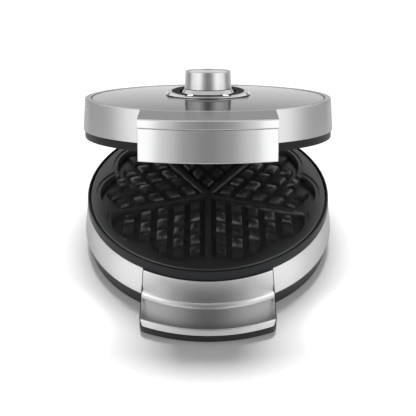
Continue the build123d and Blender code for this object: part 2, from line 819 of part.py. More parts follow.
def pilot_lights():
    """Two bevelled lenses that stand in the dish, through the insert."""
    foot = insert_under()
    top = foot + insert_thickness + lamp_proud
    lens = turned([(0, foot), (lamp_radius, foot), (lamp_radius, top, -0.7 * lamp_proud), (0, top)])
    return Part() + [Pos(x, y, 0) * lens for x, y in lamp_places()]


def thermostat():
    """Body under the deck and the plain bush that comes up through it."""
    top = deck_under - seat
    half_x, half_y = thermostat_length / 2, thermostat_width / 2
    body = slab((-half_x, -half_y, top - thermostat_height), (half_x, half_y, top))
    body += post(bush_radius, top - 1, deck_top + 1)
    return body - post(shaft_radius + running, shaft_foot - seat, wide)


def dial_shaft():
    """Steel shaft from the thermostat into the knob's hub."""
    return post(shaft_radius, shaft_foot, knob_top - knob_wall - 3 * seat)


def dial_knob():
    """Hollow knob with a hub, its top recessed for the spun disc."""
    roof = knob_top - knob_wall
    ceiling = roof - knob_wall / 2
    hub_foot = skirt_foot + dial_lift
    sink = cap_radius + seat / 2
    knob = turned([(0, hub_foot), (hub_radius, hub_foot), (hub_radius, ceiling),
                   (knob_top_radius - knob_wall, ceiling), (knob_foot_radius - knob_wall, knob_foot),
                   (knob_foot_radius, knob_foot), (knob_top_radius, knob_top, -0.9),
                   (sink, knob_top), (sink, roof + seat), (0, roof + seat)])
    return knob - post(shaft_radius + running, 0, roof - 2 * seat)


def dial_cap():
    """Spun metal disc in the knob's top."""
    low = knob_top - knob_wall + 2 * seat
    high = low + cap_thickness
    return turned([(0, low), (cap_radius, low), (cap_radius, high), (0, high)])


def dial_skirt():
    """Flared ring at the knob's foot, with a web that closes it round the hub."""
    top = knob_foot - seat
    hole = hub_radius + seat
    web = skirt_foot + dial_lift
    neck = knob_foot_radius - knob_wall / 2
    return turned([(hole, web), (hole, web + 1), (neck, web + 1), (neck, top), (knob_foot_radius, top),
                   (dial_skirt_radius, skirt_foot + 2 * seat), (dial_skirt_radius, skirt_foot),
                   (dial_skirt_radius - knob_wall, skirt_foot), (neck, web)])


def lid_screws():
    """Screws from the deck through post and pan into the upper plate's bosses."""
    tip = 2 * mid_gap - (pan_floor_inside(upper_pan_depth) + seat + screw_bite)
    return screw_set(deck_top + screw_head_height, tip)


base = {
    "base_housing": base_housing,
    "base_band": base_band,
    "base_rim": base_rim,
    "lower_plate": lambda: cooking_plate(lower_pan_depth),
    "lower_element": lambda: heating_element(lower_pan_depth),
    "lower_reflector": lambda: reflector(lower_pan_depth),
    "base_handle": base_handle,
    "base_handle_underside": base_handle_underside,
    "base_hinge": base_hinge,
    "hinge_pin": hinge_pin,
    "rubber_feet": rubber_feet,
    "base_screws": base_screws,
    "cord_inlet": cord_inlet,
    "terminal_block": terminal_block,
    "thermal_fuse": thermal_fuse,
}
lid = {
    "lid_frame": lid_frame,
    "lid_band": lid_band,
    "lid_cover": lid_cover,
    "lid_rim": lid_rim,
    "upper_plate": lambda: upside_down(cooking_plate(upper_pan_depth)),
    "upper_element": lambda: upside_down(heating_element(upper_pan_depth)),
    "upper_reflector": lambda: upside_down(reflector(upper_pan_depth)),
    "lid_handle_cap": lid_handle_cap,
    "lid_handle_skirt": lid_handle_skirt,
    "lid_handle_liner": lid_handle_liner,
    "lid_hinge": lid_hinge,
    "lid_screws": lid_screws,
    "bezel_ring": bezel_ring,
    "bezel_insert": bezel_insert,
    "pilot_lights": pilot_lights,
    "thermostat": thermostat,
    "dial_knob": dial_knob,
    "dial_cap": dial_cap,
    "dial_skirt": dial_skirt,
    "dial_shaft": dial_shaft,
}

pieces = {name: make() for name, make in base.items()}
pieces |= {name: opened(make()) for name, make in lid.items()}
boxes = [piece.bounding_box() for piece in pieces.values()]
middle = (min(box.min.Y for box in boxes) + max(box.max.Y for box in boxes)) / 2
os.makedirs("parts", exist_ok=True)
for name, piece in pieces.items():
    export_step(Pos(0, -round(middle, 1), 0) * piece, f"parts/{name}.step")
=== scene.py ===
"""Looks of a heart waffle maker: its finishes, its re-modelled pieces and the studio.

Pieces are drawn in millimetres about the axis of the round body, with the lid closed,
as in the part's source.  A Stance then puts them where their body stands at rest, so a
finished piece's object sits at the origin and its place is in its mesh.
"""

import json
import logging
import math
from collections.abc import Iterable, Sequence
from dataclasses import dataclass, field
from enum import Enum
from itertools import pairwise

import bpy
from mathutils import Matrix, Vector

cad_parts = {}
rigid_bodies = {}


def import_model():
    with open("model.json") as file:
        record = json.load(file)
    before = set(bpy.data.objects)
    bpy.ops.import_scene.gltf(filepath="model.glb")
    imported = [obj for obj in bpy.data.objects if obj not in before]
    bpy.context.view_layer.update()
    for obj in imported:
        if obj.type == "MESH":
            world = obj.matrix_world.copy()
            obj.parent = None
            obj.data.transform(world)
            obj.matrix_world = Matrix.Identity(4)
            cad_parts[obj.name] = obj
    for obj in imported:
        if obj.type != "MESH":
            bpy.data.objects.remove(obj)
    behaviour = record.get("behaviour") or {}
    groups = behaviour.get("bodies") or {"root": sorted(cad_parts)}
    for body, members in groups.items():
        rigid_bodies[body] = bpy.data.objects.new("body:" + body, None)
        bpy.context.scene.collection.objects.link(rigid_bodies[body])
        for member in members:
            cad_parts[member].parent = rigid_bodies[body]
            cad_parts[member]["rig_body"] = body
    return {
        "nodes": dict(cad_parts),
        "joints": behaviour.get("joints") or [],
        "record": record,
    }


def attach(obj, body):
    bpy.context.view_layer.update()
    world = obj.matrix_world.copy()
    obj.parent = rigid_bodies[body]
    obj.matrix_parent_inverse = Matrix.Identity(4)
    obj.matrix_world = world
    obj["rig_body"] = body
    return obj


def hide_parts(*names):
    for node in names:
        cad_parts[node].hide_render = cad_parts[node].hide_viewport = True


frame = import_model()

log = logging.getLogger("waffle_maker")

Colour = tuple[float, float, float]
Corner = tuple[float, ...]
Outline = Sequence[Corner]

ROUND = 160  # steps round the large rings
DIAL_ROUND = 144  # steps round the dial and its bezel
FOOT_ROUND = 36  # steps round the feet and the lamps
SHEET_ARC = 80.0  # degrees of a front sheet, before its sides are trimmed
TOOL_ARC = 90.0  # degrees of a turned cutting tool, before its sides are trimmed
WIDE = 400.0  # longer than anything here, for cutting tools
AXIS = 0.01  # radius of a corner on the axis, small enough to close up
GRAIN_RADIUS = 100.0  # where brush marks round the axis are as long as straight ones


class Body(Enum):
    """Bodies that pieces ride on."""

    BASE = "base"
    LID = "lid"
    DIAL = "dial"


class Grain(Enum):
    """Which way a metal was brushed."""

    ROUND = "round the axis"
    ACROSS = "from side to side"


@dataclass(frozen=True)
class Stance:
    """Where a body stands at rest, seen from the drawing.

    Attributes:
        body: The body that pieces drawn for this stance ride on.
        matrix: From the drawing's millimetres to the frame's metres.
    """

    body: Body
    matrix: Matrix

    @classmethod
    def of(cls, body: Body, hinge_set_back: float = 125.0) -> "Stance":
        """Read a body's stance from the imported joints.

        Args:
            body: The body wanted.
            hinge_set_back: Millimetres from the round body's axis to the hinge.

        Returns:
            The stance at rest.
        """
        hinge = next(j for j in frame["joints"] if j["name"] == "lid_hinge")
        pivot = Vector(hinge["pos_m"])
        axis = Matrix.Translation((0.0, pivot.y - hinge_set_back / 1000, 0.0))
        drawn = axis @ Matrix.Scale(0.001, 4)
        if body is Body.BASE:
            return cls(body, drawn)
        ajar = math.radians(-hinge["range_deg"][0])
        swing = Matrix.Rotation(ajar, 4, Vector(hinge["axis"]))
        turned = Matrix.Translation(pivot) @ swing @ Matrix.Translation(-pivot)
        return cls(body, turned @ drawn)


# Modelling


def clear_selection() -> None:
    """Leave object mode with nothing selected, so that operators act on one piece."""
    if bpy.context.mode != "OBJECT":
        bpy.ops.object.mode_set(mode="OBJECT")
    bpy.ops.object.select_all(action="DESELECT")


def pick(piece: bpy.types.Object) -> None:
    """Make a piece the only selected object and the active one.

    Args:
        piece: The piece.
    """
    clear_selection()
    piece.select_set(True)
    bpy.context.view_layer.objects.active = piece


def rounded(corners: Outline, steps: int = 5) -> list[tuple[float, float]]:
    """Trace a closed outline, with an arc at each corner that has a third number.

    Args:
        corners: Radius and height of each corner, and the rounding where there is one.
        steps: Runs in which an arc is drawn.

    Returns:
        The points of the outline in order, without the first one repeated.
    """
    traced: list[tuple[float, float]] = []
    for i, corner in enumerate(corners):
        here = Vector(corner[:2])
        if len(corner) < 3:
            traced.append((here.x, here.y))
            continue
        before = (Vector(corners[i - 1][:2]) - here).normalized()
        after = (Vector(corners[(i + 1) % len(corners)][:2]) - here).normalized()
        half = before.angle(after) / 2
        centre = here + (before + after).normalized() * corner[2] / math.sin(half)
        start = here + before * corner[2] / math.tan(half) - centre
        sweep = start.angle_signed(here + after * corner[2] / math.tan(half) - centre)
        for step in range(steps + 1):
            turn = Matrix.Rotation(-sweep * step / steps, 2)
            point = centre + turn @ start
            traced.append((point.x, point.y))
    return traced


def wire(name: str, points: Sequence[Vector]) -> bpy.types.Object:
    """Draw a closed line by extruding a point from corner to corner.

    Args:
        name: Name of the new piece.
        points: The corners in order, in the drawing's millimetres.

    Returns:
        The line, in edit mode with all of it selected.
    """
    clear_selection()
    bpy.ops.mesh.primitive_plane_add(size=1.0)
    line = bpy.context.object
    line.name = name
    bpy.ops.object.mode_set(mode="EDIT")
    bpy.ops.mesh.select_all(action="SELECT")
    bpy.ops.mesh.merge(type="CENTER")
    bpy.ops.transform.translate(value=points[0])
    for here, there in pairwise([*points, points[0]]):
        bpy.ops.mesh.extrude_region_move(TRANSFORM_OT_translate={"value": there - here})
    bpy.ops.mesh.select_all(action="SELECT")
    bpy.ops.mesh.remove_doubles(threshold=0.0005)
    return line


def lathe(
    name: str, corners: Outline, steps: int = ROUND, arc: float = 360.0
) -> bpy.types.Object:
    """Turn a closed outline about the Z axis.

    Args:
        name: Name of the new piece.
        corners: Radius and height of each corner, for rounded().
        steps: Steps of a whole turn.
        arc: Degrees that are turned, centred on the front.

    Returns:
        The turned piece, still in the drawing's millimetres; less than a whole turn
        is open at both ends until trim() closes them.
    """
    start = math.radians(-90 + arc / 2) if arc < 360 else math.radians(90)
    out = Vector((math.cos(start), math.sin(start), 0.0))
    up = Vector((0.0, 0.0, 1.0))
    piece = wire(name, [out * radius + up * height for radius, height in rounded(corners)])
    turns = max(3, round(steps * arc / 360))
    bpy.ops.mesh.spin(steps=turns, angle=math.radians(arc), center=(0, 0, 0), axis=up)
    close_up(piece)
    return piece


def ring(
    name: str,
    radii: tuple[float, float],
    levels: tuple[float, float],
    steps: int = ROUND,
    arc: float = 360.0,
) -> bpy.types.Object:
    """Turn a plain ring, or a disc when its hole closes.

    Args:
        name: Name of the new piece.
        radii: Radius of its hole and its outer radius.
        levels: Its underside and its top.
        steps: Steps of a whole turn.
        arc: Degrees that are turned, as in lathe().

    Returns:
        The turned piece.
    """
    (hole, rim), (low, high) = radii, levels
    return lathe(name, [(hole, low), (rim, low), (rim, high), (hole, high)], steps, arc)


def close_up(piece: bpy.types.Object, threshold: float = 0.002) -> None:
    """Merge doubled points and turn the faces outwards.

    Args:
        piece: The piece to mend, in the drawing's millimetres.
        threshold: How near two points are merged.
    """
    pick(piece)
    bpy.ops.object.mode_set(mode="EDIT")
    bpy.ops.mesh.select_all(action="SELECT")
    bpy.ops.mesh.remove_doubles(threshold=threshold)
    bpy.ops.mesh.dissolve_degenerate(threshold=threshold / 10)
    bpy.ops.mesh.select_all(action="SELECT")
    bpy.ops.mesh.normals_make_consistent()
    bpy.ops.object.mode_set(mode="OBJECT")


def trim(piece: bpy.types.Object, point: Sequence[float], away: Sequence[float]) -> None:
    """Cut a piece by a plane, close the cut and drop what lies beyond it.

    Args:
        piece: The piece to cut.
        point: A point on the plane.
        away: The plane's normal, towards what is dropped.
    """
    pick(piece)
    bpy.ops.object.mode_set(mode="EDIT")
    bpy.ops.mesh.select_all(action="SELECT")
    bpy.ops.mesh.bisect(
        plane_co=point, plane_no=away, use_fill=True, clear_outer=True, threshold=0.0001
    )
    bpy.ops.object.mode_set(mode="OBJECT")


def trim_sides(
    piece: bpy.types.Object, half: float, level: float = 0.0, spread: float = 0.0
) -> None:
    """Cut a front sector to its width.

    Args:
        piece: The piece to cut.
        half: Half the width at a level.
        level: That level.
        spread: How much further out each side lies a millimetre lower.
    """
    for side in (-1, 1):
        trim(piece, (side * half, 0, level), Vector((side, 0, spread)).normalized())


def block(name: str, low: Sequence[float], high: Sequence[float]) -> bpy.types.Object:
    """Box between two corners, as a cutting tool.

    Args:
        name: Name of the tool.
        low: Lowest corner.
        high: Highest corner.

    Returns:
        The tool.
    """
    clear_selection()
    middle = [(a + b) / 2 for a, b in zip(low, high)]
    size = [b - a for a, b in zip(low, high)]
    bpy.ops.mesh.primitive_cube_add(size=1.0, location=middle, scale=size)
    tool = bpy.context.object
    tool.name = name
    bpy.ops.object.transform_apply()
    return tool


def prism(name: str, outline: Sequence[tuple[float, float]]) -> bpy.types.Object:
    """Tall upright prism over a closed outline, as a cutting tool.

    Args:
        name: Name of the tool.
        outline: Corners in plan.

    Returns:
        The tool.
    """
    tool = wire(name, [Vector((x, y, -WIDE)) for x, y in outline])
    bpy.ops.mesh.edge_face_add()
    bpy.ops.mesh.extrude_region_move(TRANSFORM_OT_translate={"value": (0, 0, 2 * WIDE)})
    close_up(tool)
    return tool


def carve(piece: bpy.types.Object, tool: bpy.types.Object, keep: bool = False) -> None:
    """Cut a piece by a tool and drop the tool.

    Args:
        piece: The piece to cut.
        tool: The tool.
        keep: Keep what lies inside the tool, rather than what lies outside.
    """
    pick(piece)
    cut = piece.modifiers.new("carve", "BOOLEAN")
    cut.operation = "INTERSECT" if keep else "DIFFERENCE"
    cut.solver = "EXACT"
    cut.object = tool
    bpy.ops.object.modifier_apply(modifier=cut.name)
    bpy.data.objects.remove(tool)


def join(name: str, parts: Sequence[bpy.types.Object]) -> bpy.types.Object:
    """Make several shells one piece.

    Args:
        name: Name of the joined piece.
        parts: The shells.

    Returns:
        The joined piece.
    """
    clear_selection()
    for part in parts:
        part.select_set(True)
    bpy.context.view_layer.objects.active = parts[0]
    bpy.ops.object.join()
    parts[0].name = name
    return parts[0]


def repeat(
    name: str, piece: bpy.types.Object, moves: Sequence[Vector]
) -> bpy.types.Object:
    """Copy a piece to several places, each copy with its own mesh, and join the copies.

    Args:
        name: Name of the joined piece.
        piece: The piece, which becomes the first copy.
        moves: How far each copy stands from where the piece was drawn.

    Returns:
        The joined piece.
    """
    copies = [piece]
    for _ in moves[1:]:
        copy = bpy.data.objects.new(name, piece.data.copy())
        bpy.context.scene.collection.objects.link(copy)
        copies.append(copy)
    for copy, move in zip(copies, moves):
        copy.data.transform(Matrix.Translation(move))
    return join(name, copies)


def soften(piece: bpy.types.Object, width: float, runs: int, corner: float) -> None:
    """Round a piece's sharp edges a little and shade it smooth, with its large faces flat.

    Args:
        piece: The piece, in the drawing's millimetres.
        width: Width of the rounding, in millimetres; none when 0.
        runs: Faces across the rounding.
        corner: Degrees from which an edge counts as sharp.
    """
    pick(piece)
    if width > 0:
        edge = piece.modifiers.new("edge", "BEVEL")
        edge.width = width
        edge.segments = runs
        edge.limit_method = "ANGLE"
        edge.angle_limit = math.radians(corner)
        bpy.ops.object.modifier_apply(modifier=edge.name)
        close_up(piece, 0.001)
    bpy.ops.object.shade_smooth_by_angle(angle=math.radians(corner))
    flat = piece.modifiers.new("flat", "WEIGHTED_NORMAL")
    flat.keep_sharp = True
    bpy.ops.object.modifier_apply(modifier=flat.name)


def recut(node: str, stance: Stance, name: str) -> bpy.types.Object:
    """Copy a CAD node into the drawing, its triangles merged into whole faces.

    Args:
        node: The CAD node.
        stance: The stance of its body.
        name: Name of the new piece.

    Returns:
        The copy, in the drawing's millimetres.
    """
    piece = bpy.data.objects.new(name, frame["nodes"][node].data.copy())
    bpy.context.scene.collection.objects.link(piece)
    piece.data.transform(stance.matrix.inverted())
    pick(piece)
    bpy.ops.object.mode_set(mode="EDIT")
    bpy.ops.mesh.select_all(action="SELECT")
    bpy.ops.mesh.remove_doubles(threshold=0.002)
    bpy.ops.mesh.dissolve_limited(angle_limit=math.radians(0.6))
    bpy.ops.object.mode_set(mode="OBJECT")
    return piece


# Finishes


class Graph:
    """Node tree, with short calls for adding and joining nodes."""

    def __init__(self, tree: bpy.types.NodeTree) -> None:
        """Work on a tree.

        Args:
            tree: The tree of a material or a world.
        """
        self.nodes = tree.nodes
        self.links = tree.links

    def add(self, kind: str, **settings: object) -> bpy.types.Node:
        """Add a node.

        Args:
            kind: Name of the node's type.
            settings: The node's own settings.

        Returns:
            The node.
        """
        made = self.nodes.new(kind)
        for key, value in settings.items():
            setattr(made, key, value)
        return made

    def feed(self, socket: bpy.types.NodeSocket, source: object) -> None:
        """Link a socket to another one, or give it a value.

        Args:
            socket: The input to feed.
            source: An output, a number or a colour.
        """
        if isinstance(source, bpy.types.NodeSocket):
            self.links.new(source, socket)
        elif isinstance(source, tuple) and len(source) == 3 and socket.type == "RGBA":
            socket.default_value = (*source, 1.0)
        else:
            socket.default_value = source

    def split(self, vector: bpy.types.NodeSocket) -> list[bpy.types.NodeSocket]:
        """Take a vector apart.

        Args:
            vector: The vector's socket.

        Returns:
            The sockets of x, y and z.
        """
        apart = self.add("ShaderNodeSeparateXYZ")
        self.feed(apart.inputs[0], vector)
        return list(apart.outputs)

    def math(self, operation: str, *terms: object) -> bpy.types.NodeSocket:
        """Join numbers by one operation.

        Args:
            operation: Name of the Math node's operation.
            terms: Sockets or numbers.

        Returns:
            The result's socket.
        """
        node = self.add("ShaderNodeMath", operation=operation)
        for socket, term in zip(node.inputs, terms):
            self.feed(socket, term)
        return node.outputs[0]

    def squares(self, *terms: object) -> bpy.types.NodeSocket:
        """Sum of the squares of two numbers."""
        first, second = (self.math("MULTIPLY", term, term) for term in terms)
        return self.math("ADD", first, second)

    def between(self, value: object, low: object, high: object) -> bpy.types.NodeSocket:
        """Range a value from 0 to 1 onto numbers.

        Args:
            value: The value's socket.
            low: Result at 0.
            high: Result at 1.

        Returns:
            The result's socket.
        """
        node = self.add("ShaderNodeMapRange")
        self.feed(node.inputs["Value"], value)
        self.feed(node.inputs["To Min"], low)
        self.feed(node.inputs["To Max"], high)
        return node.outputs[0]

    def fade(
        self, value: bpy.types.NodeSocket, start: float, end: float
    ) -> bpy.types.NodeSocket:
        """Smooth step.

        Args:
            value: The value's socket.
            start: Value at which the result is still 1.
            end: Value from which the result is 0.

        Returns:
            The result's socket.
        """
        node = self.add("ShaderNodeMapRange", interpolation_type="SMOOTHSTEP")
        self.feed(node.inputs["Value"], value)
        self.feed(node.inputs["From Min"], start)
        self.feed(node.inputs["From Max"], end)
        self.feed(node.inputs["To Min"], 1.0)
        self.feed(node.inputs["To Max"], 0.0)
        return node.outputs[0]

    def seen(self) -> bpy.types.NodeSocket:
        """Tell what is seen from what only lights.

        Returns:
            The socket of 1 for the camera, metal and glass, and 0 for plain light.
        """
        ray = self.add("ShaderNodeLightPath").outputs
        direct = self.math("MAXIMUM", ray["Is Camera Ray"], ray["Is Glossy Ray"])
        return self.math("MAXIMUM", direct, ray["Is Transmission Ray"])


class Recipe(Graph):
    """Node tree of one material, with short calls for what the finishes share."""

    def __init__(self, name: str, stance: Stance) -> None:
        """Start a material.

        Args:
            name: Name of the material.
            stance: The stance of the body whose pieces it covers.
        """
        self.material = bpy.data.materials.new(name)
        self.material.use_nodes = True
        super().__init__(self.material.node_tree)
        self.shader = self.nodes["Principled BSDF"]
        self.stance = stance

    def place(self) -> bpy.types.NodeSocket:
        """Read where a point is in the drawing.

        Returns:
            The coordinates, in millimetres.
        """
        spot, turn, scale = self.stance.matrix.inverted().decompose()
        coordinates = self.add("ShaderNodeTexCoord")
        mapping = self.add("ShaderNodeMapping", vector_type="POINT")
        mapping.inputs["Location"].default_value = spot
        mapping.inputs["Rotation"].default_value = turn.to_euler()
        mapping.inputs["Scale"].default_value = scale
        self.links.new(coordinates.outputs["Object"], mapping.inputs["Vector"])
        return mapping.outputs["Vector"]

    def along(self, grain: Grain, stretch: float) -> bpy.types.NodeSocket:
        """Coordinates in which a noise turns into brush marks.

        Args:
            grain: Which way the metal was brushed.
            stretch: How many times longer than wide the marks are.

        Returns:
            The stretched coordinates, in millimetres across the marks.
        """
        x, y, z = self.split(self.place())
        joined = self.add("ShaderNodeCombineXYZ")
        if grain is Grain.ROUND:
            angle = self.math("ARCTAN2", x, self.math("MULTIPLY", y, -1.0))
            self.feed(joined.inputs[0], self.math("MULTIPLY", angle, GRAIN_RADIUS / stretch))
            self.feed(joined.inputs[1], self.math("SQRT", self.squares(x, y)))
        else:
            self.feed(joined.inputs[0], self.math("DIVIDE", x, stretch))
            self.feed(joined.inputs[1], y)
        self.feed(joined.inputs[2], z)
        return joined.outputs[0]

    def tangent(self, grain: Grain) -> bpy.types.NodeSocket:
        """Direction of the brush marks, for the shader's tangent.

        Args:
            grain: Which way the metal was brushed.

        Returns:
            The direction in the world.
        """
        x, y, _ = self.split(self.place())
        joined = self.add("ShaderNodeCombineXYZ")
        if grain is Grain.ROUND:
            self.feed(joined.inputs[0], self.math("MULTIPLY", y, -1.0))
            self.feed(joined.inputs[1], x)
        else:
            self.feed(joined.inputs[0], 1.0)
        turned = self.add("ShaderNodeMapping", vector_type="VECTOR")
        self.feed(turned.inputs["Vector"], joined.outputs[0])
        turned.inputs["Rotation"].default_value = self.stance.matrix.to_euler()
        world = self.add(
            "ShaderNodeVectorTransform",
            vector_type="VECTOR",
            convert_from="OBJECT",
            convert_to="WORLD",
        )
        self.feed(world.inputs[0], turned.outputs[0])
        return world.outputs[0]

    def noise(
        self, vector: bpy.types.NodeSocket, per_mm: float, detail: float = 3.0
    ) -> bpy.types.NodeSocket:
        """Soft random value from 0 to 1.

        Args:
            vector: Coordinates in millimetres.
            per_mm: Features to a millimetre.
            detail: Octaves of finer noise.

        Returns:
            The value's socket.
        """
        node = self.add("ShaderNodeTexNoise")
        self.feed(node.inputs["Vector"], vector)
        node.inputs["Scale"].default_value = per_mm
        node.inputs["Detail"].default_value = detail
        return node.outputs[0]

    def blend(self, share: object, first: object, second: object) -> bpy.types.NodeSocket:
        """Mix two colours.

        Args:
            share: How much of the second, from 0 to 1.
            first: A colour or its socket.
            second: A colour or its socket.

        Returns:
            The mixed colour's socket.
        """
        node = self.add("ShaderNodeMix", data_type="RGBA")
        self.feed(node.inputs["Factor"], share)
        # the node has sockets A, B and Result of each kind; these are the colours
        self.feed(node.inputs[6], first)
        self.feed(node.inputs[7], second)
        return node.outputs[2]

    def relief(
        self, height: bpy.types.NodeSocket, depth: float, strength: float = 0.5
    ) -> None:
        """Bump the surface.

        Args:
            height: Height from 0 to 1.
            depth: Millimetres that 1 stands for.
            strength: The bump node's strength.
        """
        bump = self.add("ShaderNodeBump")
        bump.inputs["Strength"].default_value = strength
        bump.inputs["Distance"].default_value = depth / 1000
        self.feed(bump.inputs["Height"], height)
        self.feed(self.shader.inputs["Normal"], bump.outputs[0])

    def set(self, **values: object) -> None:
        """Give the shader's sockets their values; an underscore stands for a space."""
        for key, value in values.items():
            self.feed(self.shader.inputs[key.replace("_", " ")], value)


@dataclass(frozen=True)
class Finish:
    """One finish; the same on every piece that has its slot.

    Attributes:
        slot: The record's material slot.
        colour: Base colour.
        roughness: Middle of the roughness's range.
    """

    slot: str
    colour: Colour
    roughness: float

    def shade(self, factor: float) -> Colour:
        """Base colour, lighter or darker by a factor."""
        return tuple(min(1.0, c * factor) for c in self.colour)

    def material(self, stance: Stance) -> bpy.types.Material:
        """Find or make this finish's material for a body.

        Args:
            stance: The body's stance.

        Returns:
            The material.
        """
        name = f"{self.slot}_{stance.body.value}"
        found = bpy.data.materials.get(name)
        if found:
            return found
        recipe = Recipe(name, stance)
        self.paint(recipe)
        return recipe.material

    def paint(self, recipe: Recipe) -> None:
        """Lay the finish on a new material; each kind has its own way."""
        raise NotImplementedError


@dataclass(frozen=True)
class BrushedMetal(Finish):
    """Metal with brush marks, and the stretched gloss that they give.

    Attributes:
        grain: Which way it was brushed.
        stretch: How much longer than wide the marks are.
        marks_per_mm: Marks to a millimetre.
        contrast: How much the marks change the colour.
        mark_gloss: How much the marks change the roughness.
        cloud_gloss: How much slow changes across the sheet change it.
        gloss_stretch: Anisotropy of the gloss.
        gloss_turn: Turn from the marks to the gloss's long side, as a share of a turn.
        depth: Depth of the marks, in millimetres.
        edge_tint: How much is left of the gloss where the metal is seen at a flat angle.
    """

    grain: Grain = Grain.ROUND
    stretch: float = 60.0
    marks_per_mm: float = 2.5
    contrast: float = 0.06
    mark_gloss: float = 0.15
    cloud_gloss: float = 0.07
    gloss_stretch: float = 0.5
    gloss_turn: float = 0.25
    depth: float = 0.004
    edge_tint: float = 0.5

    def paint(self, recipe: Recipe) -> None:
        """Lay brush marks in colour, roughness and relief.

        Args:
            recipe: The new material.
        """
        vector = recipe.along(self.grain, self.stretch)
        marks = recipe.noise(vector, self.marks_per_mm, detail=4.0)
        cloud = recipe.noise(recipe.place(), per_mm=0.02, detail=2.0)
        duller = self.roughness * (1 + self.mark_gloss)
        rough = recipe.between(marks, self.roughness * (1 - self.mark_gloss), duller)
        slow = recipe.between(cloud, 1 - self.cloud_gloss, 1 + self.cloud_gloss)
        colour = recipe.blend(marks, self.shade(1 - self.contrast), self.shade(1 + self.contrast))
        recipe.set(
            Base_Color=colour,
            Metallic=1.0,
            Roughness=recipe.math("MULTIPLY", rough, slow),
            Specular_Tint=(self.edge_tint,) * 3,
            Anisotropic=self.gloss_stretch,
            Anisotropic_Rotation=self.gloss_turn,
            Tangent=recipe.tangent(self.grain),
        )
        recipe.relief(marks, self.depth)


@dataclass(frozen=True)
class Chrome(Finish):
    """Bright plating with a faint polishing haze.

    Attributes:
        haze: How much the haze changes the roughness.
        warmth: How much it dulls the colour.
        edge_tint: How much is left of the gloss where the metal is seen at a flat angle.
    """

    haze: float = 0.05
    warmth: float = 0.015
    edge_tint: float = 0.75

    def paint(self, recipe: Recipe) -> None:
        """Lay haze in colour and roughness.

        Args:
            recipe: The new material.
        """
        haze = recipe.noise(recipe.place(), per_mm=0.12)
        duller = self.roughness * (1 + self.haze)
        recipe.set(
            Base_Color=recipe.blend(haze, self.colour, self.shade(1 - self.warmth)),
            Metallic=1.0,
            Roughness=recipe.between(haze, self.roughness * (1 - self.haze), duller),
            Specular_Tint=(self.edge_tint,) * 3,
        )


@dataclass(frozen=True)
class MouldedPlastic(Finish):
    """Moulded plastic with a spark-eroded grain.

    Attributes:
        grain_per_mm: Grains to a millimetre.
        depth: Depth of the grain, in millimetres.
        specular: Specular level.
        gloss_range: How far the roughness wanders either way.
    """

    grain_per_mm: float = 2.2
    depth: float = 0.03
    specular: float = 0.5
    gloss_range: float = 0.06

    def paint(self, recipe: Recipe) -> None:
        """Lay the grain in relief, and slow changes in colour and gloss.

        Args:
            recipe: The new material.
        """
        place = recipe.place()
        grain = recipe.noise(place, self.grain_per_mm, detail=2.0)
        cloud = recipe.noise(place, per_mm=0.03)
        share = recipe.math("MULTIPLY", grain, cloud)
        duller = self.roughness + self.gloss_range
        recipe.set(
            Base_Color=recipe.blend(share, self.shade(0.84), self.shade(1.22)),
            Roughness=recipe.between(cloud, self.roughness - self.gloss_range, duller),
            Specular_IOR_Level=self.specular,
        )
        recipe.relief(grain, self.depth, 0.6)


@dataclass(frozen=True)
class NonstickCoating(Finish):
    """Dark sprayed coating over a casting: fine orange peel and mineral specks.

    Attributes:
        grain_per_mm: Bumps and specks to a millimetre.
        speck_radius: Radius of a speck, as a share of the distance between specks.
        speck_share: How much of a speck's colour shows.
        depth: Depth of the orange peel, in millimetres.
        specular: Specular level.
    """

    grain_per_mm: float = 0.9
    speck_radius: float = 0.09
    speck_share: float = 0.35
    depth: float = 0.035
    specular: float = 0.8

    def paint(self, recipe: Recipe) -> None:
        """Lay orange peel in relief and specks in colour.

        Args:
            recipe: The new material.
        """
        place = recipe.place()
        peel = recipe.noise(place, self.grain_per_mm)
        cloud = recipe.noise(place, per_mm=0.025)
        speck = recipe.add("ShaderNodeTexVoronoi", feature="F1")
        recipe.feed(speck.inputs["Vector"], place)
        speck.inputs["Scale"].default_value = self.grain_per_mm
        near = recipe.math("LESS_THAN", speck.outputs["Distance"], self.speck_radius)
        ground = recipe.blend(cloud, self.shade(0.8), self.colour)
        share = recipe.math("MULTIPLY", near, self.speck_share)
        recipe.set(
            Base_Color=recipe.blend(share, ground, self.shade(2.0)),
            Roughness=recipe.between(peel, self.roughness - 0.05, self.roughness + 0.07),
            Specular_IOR_Level=self.specular,
        )
        recipe.relief(peel, self.depth)


@dataclass(frozen=True)
class BareSheet(Finish):
    """Pressed or drawn bare metal with rolling marks and heat tint.

    Attributes:
        tint: Colour of the heat tint.
        tint_share: How much of the tint shows where it is strongest.
        stretch: How much longer than wide the rolling marks are.
        marks_per_mm: Rolling marks to a millimetre.
        depth: Their depth, in millimetres.
    """

    tint: Colour = (0.45, 0.38, 0.30)
    tint_share: float = 0.35
    stretch: float = 30.0
    marks_per_mm: float = 1.2
    depth: float = 0.01

    def paint(self, recipe: Recipe) -> None:
        """Lay rolling marks and a patchy tint.

        Args:
            recipe: The new material.
        """
        patches = recipe.noise(recipe.place(), per_mm=0.03, detail=4.0)
        vector = recipe.along(Grain.ACROSS, self.stretch)
        marks = recipe.noise(vector, self.marks_per_mm, detail=2.0)
        share = recipe.math("MULTIPLY", patches, self.tint_share)
        recipe.set(
            Base_Color=recipe.blend(share, self.colour, self.tint),
            Metallic=1.0,
            Roughness=recipe.between(marks, self.roughness - 0.06, self.roughness + 0.08),
        )
        recipe.relief(marks, self.depth)


